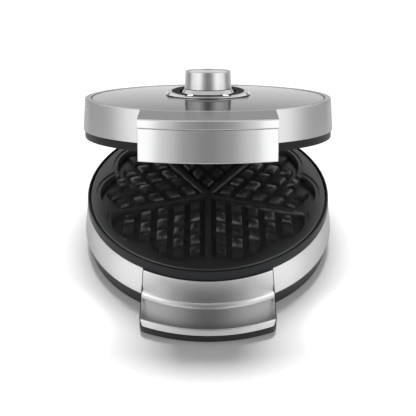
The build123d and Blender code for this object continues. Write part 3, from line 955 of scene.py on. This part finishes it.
@dataclass(frozen=True)
class DullSolid(Finish):
    """Matt solid such as rubber or unglazed ceramic.

    Attributes:
        grain_per_mm: Grains to a millimetre.
        depth: Depth of the grain, in millimetres.
    """

    grain_per_mm: float = 1.5
    depth: float = 0.05

    def paint(self, recipe: Recipe) -> None:
        """Lay a mottled matt surface.

        Args:
            recipe: The new material.
        """
        grain = recipe.noise(recipe.place(), self.grain_per_mm, detail=4.0)
        duller = min(1.0, self.roughness + 0.08)
        recipe.set(
            Base_Color=recipe.blend(grain, self.shade(0.8), self.colour),
            Roughness=recipe.between(grain, self.roughness - 0.08, duller),
        )
        recipe.relief(grain, self.depth)


@dataclass(frozen=True)
class LampLens(Finish):
    """Milky lens over a lamp that is lit.

    Attributes:
        glow: Strength of its light.
    """

    glow: float = 0.6

    def paint(self, recipe: Recipe) -> None:
        """Lay a glossy body that glows a little.

        Args:
            recipe: The new material.
        """
        cloud = recipe.noise(recipe.place(), per_mm=0.4, detail=1.0)
        recipe.set(
            Base_Color=recipe.blend(cloud, self.colour, self.shade(1.05)),
            Roughness=recipe.between(cloud, self.roughness * 0.8, self.roughness * 1.2),
            Emission_Color=self.colour,
            Emission_Strength=self.glow,
        )


CHARCOAL = MouldedPlastic("charcoal_plastic", (0.040, 0.042, 0.045), 0.5, specular=0.3)
RIM = MouldedPlastic(
    "rim_plastic", (0.046, 0.048, 0.051), 0.46, grain_per_mm=3.0, depth=0.012, specular=0.1
)
BAND = BrushedMetal(
    "brushed_band", (0.6, 0.602, 0.604), 0.3, contrast=0.015, gloss_stretch=0.75, depth=0.0004
)
HANDLE = BrushedMetal(
    "handle_metal", (0.6, 0.602, 0.604), 0.22, grain=Grain.ACROSS, stretch=150.0,
    marks_per_mm=4.0, contrast=0.01, gloss_stretch=0.6, depth=0.0002,
)
COVER = BrushedMetal(
    "polished_cover", (0.6, 0.602, 0.604), 0.1, marks_per_mm=3.0, contrast=0.02,
    gloss_stretch=0.35, depth=0.0003, edge_tint=0.46,
)
SPUN = BrushedMetal(
    "spun_cap", (0.72, 0.72, 0.72), 0.22, marks_per_mm=4.0, contrast=0.05,
    gloss_stretch=0.7, edge_tint=0.7,
)
BEZEL = Chrome("bezel_chrome", (0.62, 0.622, 0.625), 0.08)
DIAL_CHROME = Chrome("dial_chrome", (0.54, 0.542, 0.545), 0.25)
BRIGHT = Chrome("bright_steel", (0.6, 0.6, 0.605), 0.18)
NONSTICK = NonstickCoating("nonstick_plate", (0.085, 0.088, 0.092), 0.34)
SHEATH = BareSheet("element_sheath", (0.26, 0.27, 0.25), 0.5)
PAN = BareSheet("pan_steel", (0.62, 0.62, 0.61), 0.35)
RUBBER = DullSolid("foot_rubber", (0.03, 0.03, 0.031), 0.8)
CERAMIC = DullSolid("terminal_ceramic", (0.8, 0.77, 0.7), 0.75, grain_per_mm=0.8)
GLOSS = MouldedPlastic(
    "black_gloss", (0.010, 0.010, 0.011), 0.3, grain_per_mm=0.3, depth=0.002, specular=0.002
)
LENS = LampLens("lamp_lens", (0.88, 0.89, 0.9), 0.12)

FINISHES = (
    CHARCOAL, RIM, BAND, HANDLE, COVER, SPUN, BEZEL, DIAL_CHROME,
    BRIGHT, NONSTICK, SHEATH, PAN, RUBBER, CERAMIC, GLOSS, LENS,
)


# Sub-assemblies


@dataclass(frozen=True)
class Dome:
    """Domed top of the lid's cover, on which cover and bezel are drawn.

    Attributes:
        edge: Level of its edge.
        radius: Radius of its edge.
        rise: How much higher its middle is.
    """

    edge: float = 99.0
    radius: float = 112.2
    rise: float = 2.7

    def height(self, radius: float) -> float:
        """Level of the dome at a distance from the axis."""
        return self.edge + self.rise * (1 - (radius / self.radius) ** 2)


DOME = Dome()


@dataclass
class Assembly:
    """Pieces of one body; the base of each sub-assembly.

    Attributes:
        stance: Where the body stands at rest.
        seat: Gap between a piece and what it is let into, in millimetres.
        made: Names of the pieces made so far.
    """

    stance: Stance
    seat: float = 0.3
    made: list[str] = field(default_factory=list)

    def fit(
        self,
        piece: bpy.types.Object,
        finish: Finish,
        node: str,
        edge: float = 0.0,
        runs: int = 2,
        corner: float = 35.0,
    ) -> None:
        """Soften a drawn piece, put it in its place, dress it and let it stand for a node.

        Args:
            piece: The piece, in the drawing's millimetres.
            finish: Its finish.
            node: The CAD node that it stands for.
            edge: Width of the rounding of its sharp edges, in millimetres.
            runs: Faces across that rounding.
            corner: Degrees from which an edge counts as sharp.
        """
        soften(piece, edge, runs, corner)
        pick(piece)
        piece.matrix_world = self.stance.matrix
        bpy.ops.object.transform_apply()
        piece.data.materials.clear()
        piece.data.materials.append(finish.material(self.stance))
        body = self.stance.body.value
        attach(piece, body)
        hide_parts(node)
        self.made.append(piece.name)
        log.info("%s rides on %s, %d faces", piece.name, body, len(piece.data.polygons))

    def build(self) -> None:
        """Make the sub-assembly's pieces."""
        raise NotImplementedError


@dataclass
class BaseShell(Assembly):
    """Housing, silver band, dark rim and feet of the base."""

    band_foot: float = 21.4
    band_top: float = 50.9
    band_top_radius: float = 120.5
    band_foot_radius: float = 124.6
    band_wall: float = 1.0
    rim_radius: float = 120.0
    rim_flare: float = 0.4
    rim_inside: float = 118.4
    rim_shelf_radius: float = 112.5
    rim_shelf: float = 55.5
    parting: float = 61.0
    handle_gap: float = 61.0
    gap_spread: float = 2.9 / 32.1
    handle_back: float = 120.1
    grip_top: float = 14.45
    hinge_gap: float = 51.9
    hinge_gap_low: float = 27.6
    foot_ring: float = 98.0
    foot_radius: float = 8.5
    foot_height: float = 4.1
    foot_tread: Outline = (
        (AXIS, 0.6), (2.4, 0.6, 0.2), (2.9, 0.0, 0.3), (4.1, 0.0, 0.3),
        (4.6, 0.6, 0.2), (5.4, 0.6, 0.2), (5.9, 0.0, 0.3), (7.5, 0.0, 0.7),
    )

    def build(self) -> None:
        """Make housing, band, rim and feet."""
        self.housing()
        self.band()
        self.rim()
        self.feet()

    def housing(self) -> None:
        """Housing, cut back for the spreading sides of the handle."""
        housing = recut("base_housing", self.stance, "housing")
        room = ring("room", (self.handle_back, WIDE), (self.grip_top, WIDE), arc=TOOL_ARC)
        trim_sides(room, self.handle_gap - self.seat, self.band_top, self.gap_spread)
        carve(housing, room)
        self.fit(housing, CHARCOAL, "base_housing", 0.35)

    def band(self) -> None:
        """Silver band, open for the handle and notched for the hinge block."""
        band = lathe("silver_band_base", [
            (self.band_foot_radius, self.band_foot),
            (self.band_top_radius, self.band_top),
            (self.band_top_radius - self.band_wall, self.band_top),
            (self.band_foot_radius - self.band_wall, self.band_foot),
        ])
        gap = block("gap", (-WIDE, -WIDE, 0), (WIDE, 0, WIDE))
        trim_sides(gap, self.handle_gap, self.band_top, self.gap_spread)
        carve(band, gap)
        notch = block(
            "notch", (-self.hinge_gap, 0, self.hinge_gap_low), (self.hinge_gap, WIDE, WIDE)
        )
        carve(band, notch)
        self.fit(band, BAND, "base_band", 0.28)

    def rim(self) -> None:
        """Dark ring round the lower plate."""
        rim = lathe("dark_rim_base", [
            (self.rim_shelf_radius, self.band_top),
            (self.rim_radius + self.rim_flare, self.band_top),
            (self.rim_radius, self.parting, 0.8),
            (self.rim_inside, self.parting, 0.4),
            (self.rim_inside, self.rim_shelf),
            (self.rim_shelf_radius, self.rim_shelf),
        ])
        self.fit(rim, RIM, "base_rim", 0.15)

    def feet(self) -> None:
        """Four rubber feet with two ribs on each tread."""
        sides = [(self.foot_radius, self.foot_height), (AXIS, self.foot_height)]
        foot = lathe("foot", [*self.foot_tread, *sides], FOOT_ROUND)
        angles = [math.radians(45 + 90 * quarter) for quarter in range(4)]
        spots = [Vector((math.cos(a), math.sin(a), 0)) * self.foot_ring for a in angles]
        self.fit(repeat("rubber_feet_ribbed", foot, spots), RUBBER, "rubber_feet")


@dataclass
class BaseHandle(Assembly):
    """Silver tongue of the base handle and the dark grip under it."""

    half: float = 60.4
    flare: float = 2.9
    flare_top: float = 50.9
    face: float = 122.4
    wall: float = 2.0
    top: float = 50.6
    root: float = 18.8
    lip: float = 17.2
    lip_height: float = 6.0
    reach: float = 153.65
    lean: float = 0.3
    lip_lean: float = 2.2
    fillet: float = 6.0
    corner: float = 7.0
    grip_proud: float = 0.6
    grip_side: float = 1.0
    grip_corner: float = 9.0
    grip_wall: float = 2.5
    grip_top: float = 14.6
    grip_foot: float = 4.1
    grip_back_low: float = 121.6
    grip_back_high: float = 123.4
    corner_steps: int = 8
    front_steps: int = 30
    clear: float = 0.02

    def build(self) -> None:
        """Make tongue and grip."""
        self.tongue()
        self.grip()

    def plan(self, front: float, half: float, corner: float) -> bpy.types.Object:
        """Upright tool with straight sides, rounded corners and a curved front.

        Args:
            front: Radius of the front of what is kept; the tool clears it a little.
            half: Half its width.
            corner: Rounding of its two corners.

        Returns:
            The tool.
        """
        front += self.clear
        across = half - corner
        along = -math.sqrt((front - corner) ** 2 - across**2)
        meet = math.atan2(along, across)
        turns = [meet * step / self.corner_steps for step in range(self.corner_steps + 1)]
        right = [(across + corner * math.cos(a), along + corner * math.sin(a)) for a in turns]
        sweep = (-math.pi / 2 - meet) / self.front_steps
        arcs = [meet + sweep * step for step in range(1, self.front_steps + 1)]
        right += [(front * math.cos(a), front * math.sin(a)) for a in arcs]
        left = [(-x, y) for x, y in reversed(right[:-1])]
        back = -self.face / 2
        return prism("plan", [(half, back), *right, *left, (-half, back)])

    def tongue(self) -> None:
        """Wall, fillet, tongue and rolled lip in one sheet."""
        back = self.face - self.wall
        front = self.reach + self.lean
        inside = self.reach - self.wall
        lip_foot = self.lip - self.lip_height
        tongue = lathe("handle_tongue", [
            (back, self.top),
            (self.face, self.top, 0.6),
            (self.face, self.root, self.fillet),
            (self.reach - self.lip_lean, self.lip, 1.6),
            (front, lip_foot, 0.4),
            (inside, lip_foot),
            (inside - self.lip_lean, self.lip - self.wall),
            (back, self.root - self.wall, self.fillet),
        ], arc=SHEET_ARC)
        spread = self.flare / (self.flare_top - self.root)
        trim_sides(tongue, self.half, self.flare_top, spread)
        carve(tongue, self.plan(front, self.half + self.flare, self.corner), keep=True)
        self.fit(tongue, HANDLE, "base_handle", 0.4)

    def grip(self) -> None:
        """Dark tray under the tongue, open at the bottom, with three ribs."""
        tuck = self.reach - self.lip_lean - self.wall - self.seat
        front = self.reach + self.lean + self.grip_proud
        ledge = self.lip - self.lip_height - self.seat
        half = self.half + self.flare + self.grip_side
        grip = lathe("grip_under_tongue", [
            (self.grip_back_high, self.grip_top),
            (tuck, self.grip_top),
            (tuck, ledge),
            (front, ledge, 0.3),
            (front, self.grip_foot, self.grip_proud),
            (self.grip_back_low, self.grip_foot),
        ], arc=SHEET_ARC)
        trim_sides(grip, half + self.grip_side)
        carve(grip, self.plan(front, half, self.grip_corner), keep=True)
        roof = self.grip_top - self.grip_wall
        back = self.grip_back_high + self.grip_wall
        inner = front - self.grip_wall
        hollow = lathe("hollow", [
            (back, 0), (inner, 0), (tuck - self.grip_wall, roof), (back, roof),
        ], arc=SHEET_ARC)
        trim_sides(hollow, half + self.grip_side)
        corner = self.grip_corner - self.grip_wall
        carve(hollow, self.plan(inner, half - self.grip_wall, corner), keep=True)
        rib = self.grip_wall / 2
        for x in (-half / 2, 0, half / 2):
            carve(hollow, block("rib", (x - rib, -WIDE, -WIDE), (x + rib, 0, WIDE)))
        carve(grip, hollow)
        self.fit(grip, CHARCOAL, "base_handle_underside", 0.3)


@dataclass
class CookingHalf(Assembly):
    """Heart plate of one half; what is inside keeps its CAD shape."""

    plate: str = "lower_plate"
    edge: float = 0.5
    corner: float = 28.0

    def build(self) -> None:
        """Make the coated plate with its cast edges softened."""
        casting = recut(self.plate, self.stance, f"{self.plate}_coated")
        self.fit(casting, NONSTICK, self.plate, self.edge, corner=self.corner)


@dataclass
class LidShell(Assembly):
    """Silver band with its flat ring, polished cover, dark rim and inner moulding."""

    rim_radius: float = 119.4
    rim_foot: float = 61.7
    rim_flare: float = 0.2
    rim_inside: float = 117.9
    shelf: float = 67.2
    shelf_radius: float = 112.5
    band_foot: float = 69.6
    top: float = 99.3
    band_foot_radius: float = 121.0
    band_top_radius: float = 119.0
    band_wall: float = 1.0
    ring_inside: float = 113.0
    cover_wall: float = 1.2
    cover_steps: int = 20
    shaft_hole: float = 5.3
    handle_gap: float = 60.3
    hinge_gap: float = 43.6
    hinge_gap_top: float = 92.8

    def build(self) -> None:
        """Make band, cover, rim and inner moulding."""
        self.band()
        self.cover()
        self.rim()
        moulding = recut("lid_frame", self.stance, "lid_moulding")
        self.fit(moulding, CHARCOAL, "lid_frame", 0.3)

    def band(self) -> None:
        """Silver band and flat ring, open behind the handle and notched at the hinge."""
        band = lathe("silver_band_lid", [
            (self.band_foot_radius, self.band_foot),
            (self.band_top_radius, self.top, 0.7),
            (self.ring_inside, self.top),
            (self.ring_inside, self.top - self.band_wall),
            (self.band_top_radius - self.band_wall, self.top - self.band_wall),
            (self.band_foot_radius - self.band_wall, self.band_foot),
        ])
        wall = self.band_top_radius - self.seat
        gap = ring("gap", (wall, WIDE), (0, WIDE), arc=TOOL_ARC)
        trim_sides(gap, self.handle_gap)
        carve(band, gap)
        notch = ring("notch", (self.ring_inside, WIDE), (0, self.hinge_gap_top), arc=TOOL_ARC)
        notch.data.transform(Matrix.Rotation(math.pi, 4, "Z"))
        trim_sides(notch, self.hinge_gap)
        carve(band, notch)
        self.fit(band, BAND, "lid_band", 0.25)

    def cover(self) -> None:
        """Domed disc with its edge eased."""
        step = (DOME.radius - self.shaft_hole) / self.cover_steps
        radii = [self.shaft_hole + step * i for i in range(self.cover_steps + 1)]
        over = [(r, DOME.height(r)) for r in radii]
        over[-1] = (*over[-1], 0.4)
        under = [(r, DOME.height(r) - self.cover_wall) for r in reversed(radii)]
        self.fit(lathe("domed_cover", over + under), COVER, "lid_cover")

    def rim(self) -> None:
        """Dark ring round the upper plate."""
        rim = lathe("dark_rim_lid", [
            (self.rim_radius, self.rim_foot, 0.7),
            (self.rim_radius + self.rim_flare, self.band_foot),
            (self.shelf_radius, self.band_foot),
            (self.shelf_radius, self.shelf),
            (self.rim_inside, self.shelf),
            (self.rim_inside, self.rim_foot, 0.4),
        ])
        self.fit(rim, RIM, "lid_rim", 0.15)


@dataclass
class LidHandle(Assembly):
    """Cap, curved front sheet with two cheeks, and the dark grip inside."""

    half: float = 60.0
    root: float = 119.3
    reach: float = 159.3
    wall: float = 2.0
    top: float = 99.3
    lip: float = 96.6
    lip_height: float = 8.0
    front: float = 157.6
    foot: float = 59.8
    under_cap: float = 94.3
    cheek_root: float = 121.3
    cheek_foot: float = 69.6
    liner_back: float = 120.0
    liner_foot: float = 69.9
    liner_wall: float = 2.5
    liner_top: float = 97.0
    liner_reach: float = 155.3

    def build(self) -> None:
        """Make cap, sheet and grip."""
        self.cap()
        self.sheet()
        self.liner()

    def cap(self) -> None:
        """Top face and its lip."""
        inside = self.reach - self.wall
        low = self.lip - self.lip_height
        cap = lathe("handle_cap", [
            (self.root, self.top),
            (self.reach, self.lip, 1.3),
            (self.reach, low, 0.9),
            (inside, low, 0.4),
            (inside, self.lip - self.wall),
            (self.root, self.top - self.wall),
        ], arc=SHEET_ARC)
        trim_sides(cap, self.half)
        self.fit(cap, HANDLE, "lid_handle_cap", 0.5)

    def sheet(self) -> None:
        """Curved front sheet and its cheeks."""
        low = self.lip - self.lip_height - self.seat
        tuck = self.reach - self.wall - self.seat
        back = self.front - self.wall
        sheet = lathe("front_sheet", [
            (back, self.foot),
            (self.front, self.foot, 0.8),
            (self.front, low),
            (tuck, low),
            (tuck, self.under_cap),
            (back, self.under_cap),
        ], arc=SHEET_ARC)
        trim_sides(sheet, self.half)
        shells = [sheet]
        edge = self.front - self.wall / 2
        for side in (-1, 1):
            cheek = lathe("cheek", [
                (self.cheek_root, self.cheek_foot),
                (edge, self.foot),
                (edge, self.under_cap),
                (self.cheek_root, self.under_cap),
            ], arc=SHEET_ARC)
            trim(cheek, (side * self.half, 0, 0), (side, 0, 0))
            trim(cheek, (side * (self.half - self.wall), 0, 0), (-side, 0, 0))
            shells.append(cheek)
        self.fit(join("handle_front", shells), HANDLE, "lid_handle_skirt", 0.35)

    def liner(self) -> None:
        """Dark grip that lines the cap and covers the lid's wall."""
        front = self.liner_back + self.liner_wall
        roof = self.under_cap - self.liner_wall
        liner = lathe("handle_grip", [
            (self.liner_back, self.liner_foot),
            (front, self.liner_foot, 0.6),
            (front, roof, self.liner_wall),
            (self.liner_reach, roof, 0.6),
            (self.liner_reach, self.under_cap),
            (self.liner_back, self.liner_top),
        ], arc=SHEET_ARC)
        trim_sides(liner, self.half - self.wall - self.seat)
        self.fit(liner, CHARCOAL, "lid_handle_liner", 0.3)


@dataclass
class Hinge(Assembly):
    """Hinge block of one body, with its barrels."""

    node: str = "base_hinge"
    edge: float = 0.5

    def build(self) -> None:
        """Make the block with its edges softened."""
        piece = recut(self.node, self.stance, f"{self.node}_block")
        self.fit(piece, CHARCOAL, self.node, self.edge)


@dataclass
class Bezel(Assembly):
    """Chrome ring that slopes down to the front, black insert and two lamps round the dial."""

    bore: float = 27.0
    dish: float = 35.2
    edge: float = 41.0
    crest_width: float = 1.8
    crown: float = 101.7
    back_rise: float = 5.5
    front_rise: float = 1.1
    insert_sink: float = 0.4
    lamp_radius: float = 2.9
    lamp_gap: float = 0.2
    lamp_ring: float = 31.1
    lamp_angle: float = 33.0

    def build(self) -> None:
        """Make ring, insert and lamps."""
        self.cone()
        self.insert()
        self.lamps()

    def foot(self, radius: float) -> float:
        """Level just above the domed cover at a radius."""
        return DOME.height(radius) + self.seat

    def high(self) -> float:
        """Level of the crest at the back."""
        return self.crown + self.back_rise

    def slope(self, piece: bpy.types.Object, sink: float = 0.0) -> None:
        """Cut a piece by a plane parallel to the tilted crest.

        Args:
            piece: The piece, in the drawing's millimetres.
            sink: How far below the crest the plane lies.
        """
        middle = self.crown + (self.back_rise + self.front_rise) / 2 - sink
        rise = (self.back_rise - self.front_rise) / 2 / (self.dish + self.crest_width)
        trim(piece, (0, 0, middle), Vector((0, -rise, 1)).normalized())

    def cone(self) -> None:
        """Cone with a sloping crest."""
        foot = self.foot(self.dish)
        cone = lathe("bezel_cone", [
            (self.dish, foot),
            (self.edge, foot),
            (self.edge, foot + 2 * self.seat),
            (self.dish + self.crest_width, self.high()),
            (self.dish, self.high()),
        ], DIAL_ROUND)
        self.slope(cone)
        self.fit(cone, BEZEL, "bezel_ring", 0.3, 3)

    def insert(self) -> None:
        """Black wedge-shaped ring with two holes."""
        radii = (self.bore + self.seat, self.dish - self.seat)
        insert = ring("bezel_disc", radii, (self.foot(self.bore), self.high()), DIAL_ROUND)
        self.slope(insert, self.insert_sink)
        hole = ring("hole", (AXIS, self.lamp_radius + self.lamp_gap), (0, WIDE), FOOT_ROUND)
        carve(insert, repeat("holes", hole, self.lamp_spots()))
        self.fit(insert, GLOSS, "bezel_insert", 0.15)

    def lamp_spots(self) -> list[Vector]:
        """Centres of the two lamps."""
        angles = [math.radians(270 + side * self.lamp_angle) for side in (-1, 1)]
        return [Vector((math.cos(a), math.sin(a), 0)) * self.lamp_ring for a in angles]

    def lamps(self) -> None:
        """Two bevelled lenses through the insert, level with the crest."""
        left, right = self.lamp_spots()
        levels = (self.foot(self.bore), self.high())
        lens = ring("lens", (AXIS, self.lamp_radius), levels, FOOT_ROUND)
        lens.data.transform(Matrix.Translation(left))
        self.slope(lens)
        lenses = repeat("pilot_lenses", lens, [Vector(), right - left])
        self.fit(lenses, LENS, "pilot_lights", 0.35, 3)


@dataclass
class Dial(Assembly):
    """Hollow chromed knob, its spun disc and its flared skirt."""

    top: float = 124.4
    foot: float = 107.2
    top_radius: float = 22.0
    foot_radius: float = 23.0
    wall: float = 2.0
    hub_radius: float = 6.0
    hub_foot: float = 104.1
    cap_radius: float = 19.6
    cap_wall: float = 0.8
    skirt_foot: float = 102.9
    skirt_radius: float = 25.5
    web: float = 104.1
    web_wall: float = 1.0

    def build(self) -> None:
        """Make knob, disc and skirt."""
        self.knob()
        self.disc()
        self.skirt()

    def knob(self) -> None:
        """Knob with a hub inside and a recess for the disc."""
        roof = self.top - self.wall
        ceiling = roof - self.wall / 2
        floor = roof + self.seat
        sink = self.cap_radius + self.seat / 2
        knob = lathe("knob", [
            (AXIS, self.hub_foot),
            (self.hub_radius, self.hub_foot),
            (self.hub_radius, ceiling),
            (self.top_radius - self.wall, ceiling),
            (self.foot_radius - self.wall, self.foot),
            (self.foot_radius, self.foot, 0.3),
            (self.top_radius, self.top, 0.9),
            (sink, self.top, 0.25),
            (sink, floor),
            (AXIS, floor),
        ], DIAL_ROUND)
        self.fit(knob, DIAL_CHROME, "dial_knob")

    def disc(self) -> None:
        """Spun disc in the knob's recess."""
        low = self.top - self.wall + 2 * self.seat
        high = low + self.cap_wall
        disc = lathe("spun_disc", [
            (AXIS, low), (self.cap_radius, low), (self.cap_radius, high, 0.25), (AXIS, high),
        ], DIAL_ROUND)
        self.fit(disc, SPUN, "dial_cap")

    def skirt(self) -> None:
        """Flared ring under the knob."""
        top = self.foot - self.seat
        hole = self.hub_radius + self.seat
        neck = self.foot_radius - self.wall / 2
        floor = self.web + self.web_wall
        skirt = lathe("knob_skirt", [
            (hole, self.web),
            (hole, floor),
            (neck, floor),
            (neck, top),
            (self.foot_radius, top, 0.3),
            (self.skirt_radius, self.skirt_foot + 2 * self.seat, 0.3),
            (self.skirt_radius, self.skirt_foot, 0.2),
            (self.skirt_radius - self.wall, self.skirt_foot),
            (neck, self.web),
        ], DIAL_ROUND)
        self.fit(skirt, DIAL_CHROME, "dial_skirt")


def dress_nodes(stances: dict[Body, Stance]) -> None:
    """Give each CAD node the finish of its slot, for those that aren't replaced later.

    Args:
        stances: The stance of each body.
    """
    by_slot = {finish.slot: finish for finish in FINISHES}
    slots = {part["node"]: part["material_slot"] for part in frame["record"]["subparts"]}
    for name, node in frame["nodes"].items():
        body = Body(node["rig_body"])
        node.data.materials.clear()
        node.data.materials.append(by_slot[slots[name]].material(stances[body]))
        log.info("%s is dressed in %s", name, slots[name])


# Studio


@dataclass(frozen=True)
class Softbox:
    """Rectangular lamp that faces the object.

    Attributes:
        name: Name of the lamp.
        spot: Where it stands, in metres.
        size: Width and height, in metres.
        power: Watts.
        mirrored: Whether metal shows it.
    """

    name: str
    spot: Corner
    size: tuple[float, float]
    power: float
    mirrored: bool = True

    def light(self, target: Vector) -> None:
        """Hang the lamp and aim it.

        Args:
            target: The point that it faces.
        """
        data = bpy.data.lights.new(self.name, "AREA")
        data.shape = "RECTANGLE"
        data.size, data.size_y = self.size
        data.energy = self.power
        lamp = bpy.data.objects.new(self.name, data)
        lamp.location = self.spot
        lamp.rotation_euler = (target - Vector(self.spot)).to_track_quat("-Z", "Y").to_euler()
        lamp.visible_glossy = self.mirrored
        bpy.context.scene.collection.objects.link(lamp)


@dataclass
class Studio:
    """Camera, lamps, world and floor.

    Attributes:
        axis_y: Where the round body's axis stands, in metres.
        camera_back: How far in front of the axis the camera stands, in metres.
        camera_height: How high it stands, in metres.
        camera_pitch: Degrees that it looks down.
        lens: Its focal length, in millimetres.
        sensor: Width of its sensor, in millimetres.
        floor_half: Half the floor's width, in metres.
        floor_colour: Grey of the paper near the object, inside a painted pool of light.
        floor_far_shade: Grey of the paper far from it: painted shade, which metal mirrors.
        floor_lift: How much the near paper is lifted towards white for the camera.
        pool_side: From and to how far aside the painted pool of light fades.
        pool_back: From and to how far back it fades.
        pool_lean: How much wider it gets a metre further back.
        glow: Extra lift of two painted pools of light on the paper in front of the object.
        painted_light_spot: How far aside and how far forward the painted patches lie.
        painted_light_square: Square of their radius.
        walls: Brightness of the studio's walls by their angle from the camera's side,
            as a share of half a turn.
        wall_light: Share of that brightness that lights the object.
        wall_top: From and to what height of the sky the walls dim to the ceiling.
        ceiling: Share of the walls' brightness overhead.
        aim: Level that the lamps face.
    """

    axis_y: float
    camera_back: float = 0.8754
    camera_height: float = 0.7618
    camera_pitch: float = 39.58
    lens: float = 96.8
    sensor: float = 36.0
    floor_half: float = 3.0
    floor_colour: float = 0.86
    floor_far_shade: float = 0.55
    floor_lift: float = 0.15
    pool_side: tuple[float, float] = (0.24, 0.36)
    pool_back: tuple[float, float] = (0.42, 0.9)
    pool_lean: float = 0.12
    glow: float = 0.4
    painted_light_spot: tuple[float, float] = (0.16, 0.13)
    painted_light_square: float = 0.006
    walls: tuple[tuple[float, float], ...] = (
        (0.0, 0.34), (0.083, 0.46), (0.167, 0.94), (0.25, 1.32),
        (0.4, 1.6), (0.55, 1.15), (0.83, 1.25), (1.0, 1.1),
    )
    wall_light: float = 0.2
    wall_top: tuple[float, float] = (0.4, 0.7)
    ceiling: float = 0.75
    aim: float = 0.08
    lamps: tuple[Softbox, ...] = (
        Softbox("key", (0.0, 0.42, 1.75), (0.7, 0.3), 36.0, mirrored=False),
        Softbox("fill_left", (-1.5, -1.35, 0.8), (0.9, 1.5), 1.9),
        Softbox("fill_right", (1.5, -1.35, 0.8), (0.9, 1.5), 1.9),
    )

    def build(self) -> None:
        """Set up the whole studio."""
        self.camera()
        self.floor()
        self.world()
        for lamp in self.lamps:
            lamp.light(Vector((0.0, self.axis_y, self.aim)))
        bpy.context.scene.view_settings.view_transform = "Standard"

    def camera(self) -> None:
        """Camera at the photograph's viewing angle."""
        data = bpy.data.cameras.new("camera")
        data.lens = self.lens
        data.sensor_width = self.sensor
        camera = bpy.data.objects.new("camera", data)
        camera.location = (0.0, self.axis_y - self.camera_back, self.camera_height)
        camera.rotation_euler = (math.radians(90 - self.camera_pitch), 0.0, 0.0)
        bpy.context.scene.collection.objects.link(camera)
        bpy.context.scene.camera = camera

    def floor(self) -> None:
        """Pale paper in a painted pool of light, greyer where the camera doesn't look."""
        clear_selection()
        bpy.ops.mesh.primitive_plane_add(size=2 * self.floor_half)
        floor = bpy.context.object
        floor.name = "floor"
        material = bpy.data.materials.new("floor_paper")
        material.use_nodes = True
        graph = Graph(material.node_tree)
        graph.nodes.clear()
        x, y, _ = graph.split(graph.add("ShaderNodeTexCoord").outputs["Object"])
        # painted pool of light: near the object the paper is paler and lifted, beyond it greyer
        side = graph.math("ABSOLUTE", x)
        aside = graph.math("SUBTRACT", side, graph.math("MULTIPLY", y, self.pool_lean))
        near = graph.fade(aside, *self.pool_side)
        painted_pool = graph.math("MULTIPLY", near, graph.fade(y, *self.pool_back))
        # two painted pools of light on the paper in front of the object, which the base band
        # mirrors
        apart, forward = self.painted_light_spot
        across = graph.math("SUBTRACT", side, apart)
        spread = graph.squares(across, graph.math("ADD", y, forward))
        patches = graph.fade(spread, 0.0, self.painted_light_square)
        glow = graph.math("MULTIPLY", patches, self.glow)
        paper = graph.add("ShaderNodeBsdfDiffuse")
        level = graph.between(painted_pool, self.floor_far_shade, self.floor_colour)
        grey = graph.add("ShaderNodeCombineColor")
        for socket in grey.inputs:
            graph.feed(socket, level)
        graph.feed(paper.inputs["Color"], grey.outputs[0])
        lift = graph.add("ShaderNodeEmission")
        strength = graph.math("ADD", graph.math("MULTIPLY", painted_pool, self.floor_lift), glow)
        graph.feed(lift.inputs["Strength"], graph.math("MULTIPLY", strength, graph.seen()))
        both = graph.add("ShaderNodeAddShader")
        graph.feed(both.inputs[0], paper.outputs[0])
        graph.feed(both.inputs[1], lift.outputs[0])
        graph.feed(graph.add("ShaderNodeOutputMaterial").inputs["Surface"], both.outputs[0])
        floor.data.materials.append(material)

    def world(self) -> None:
        """Studio walls: grey behind the camera, bright at its sides, dim as a light."""
        world = bpy.data.worlds.new("studio")
        world.use_nodes = True
        bpy.context.scene.world = world
        graph = Graph(world.node_tree)
        x, y, z = graph.split(graph.add("ShaderNodeTexCoord").outputs["Generated"])
        angle = graph.math("ARCTAN2", graph.math("ABSOLUTE", x), graph.math("MULTIPLY", y, -1.0))
        ramp = graph.add("ShaderNodeValToRGB")
        ramp.color_ramp.interpolation = "EASE"
        elements = ramp.color_ramp.elements
        while len(elements) < len(self.walls):
            elements.new(0.5)
        for element, (position, level) in zip(elements, self.walls):
            element.position = position
            element.color = (level, level, level, 1.0)
        graph.feed(ramp.inputs[0], graph.math("DIVIDE", angle, math.pi))
        ground = graph.nodes["Background"]
        graph.feed(ground.inputs["Color"], ramp.outputs[0])
        upper = graph.between(graph.fade(z, *self.wall_top), self.ceiling, 1.0)
        share = graph.between(graph.seen(), self.wall_light, 1.0)
        graph.feed(ground.inputs["Strength"], graph.math("MULTIPLY", upper, share))


def main() -> None:
    """Build the sub-assemblies, dress the nodes that stay and set up the studio."""
    logging.basicConfig(level=logging.INFO, format="%(name)s: %(message)s")
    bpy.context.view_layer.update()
    stances = {body: Stance.of(body) for body in Body}
    base, lid, dial = (stances[body] for body in Body)
    dress_nodes(stances)
    assemblies: list[Assembly] = [
        BaseShell(base),
        BaseHandle(base),
        CookingHalf(base),
        CookingHalf(lid, plate="upper_plate"),
        LidShell(lid),
        LidHandle(lid),
        Hinge(base),
        Hinge(lid, node="lid_hinge"),
        Bezel(lid),
        Dial(dial),
    ]
    for assembly in assemblies:
        assembly.build()
        log.info("%s: %s", type(assembly).__name__, ", ".join(assembly.made))
    Studio(base.matrix.translation.y).build()


if __name__ == "__main__":
    main()
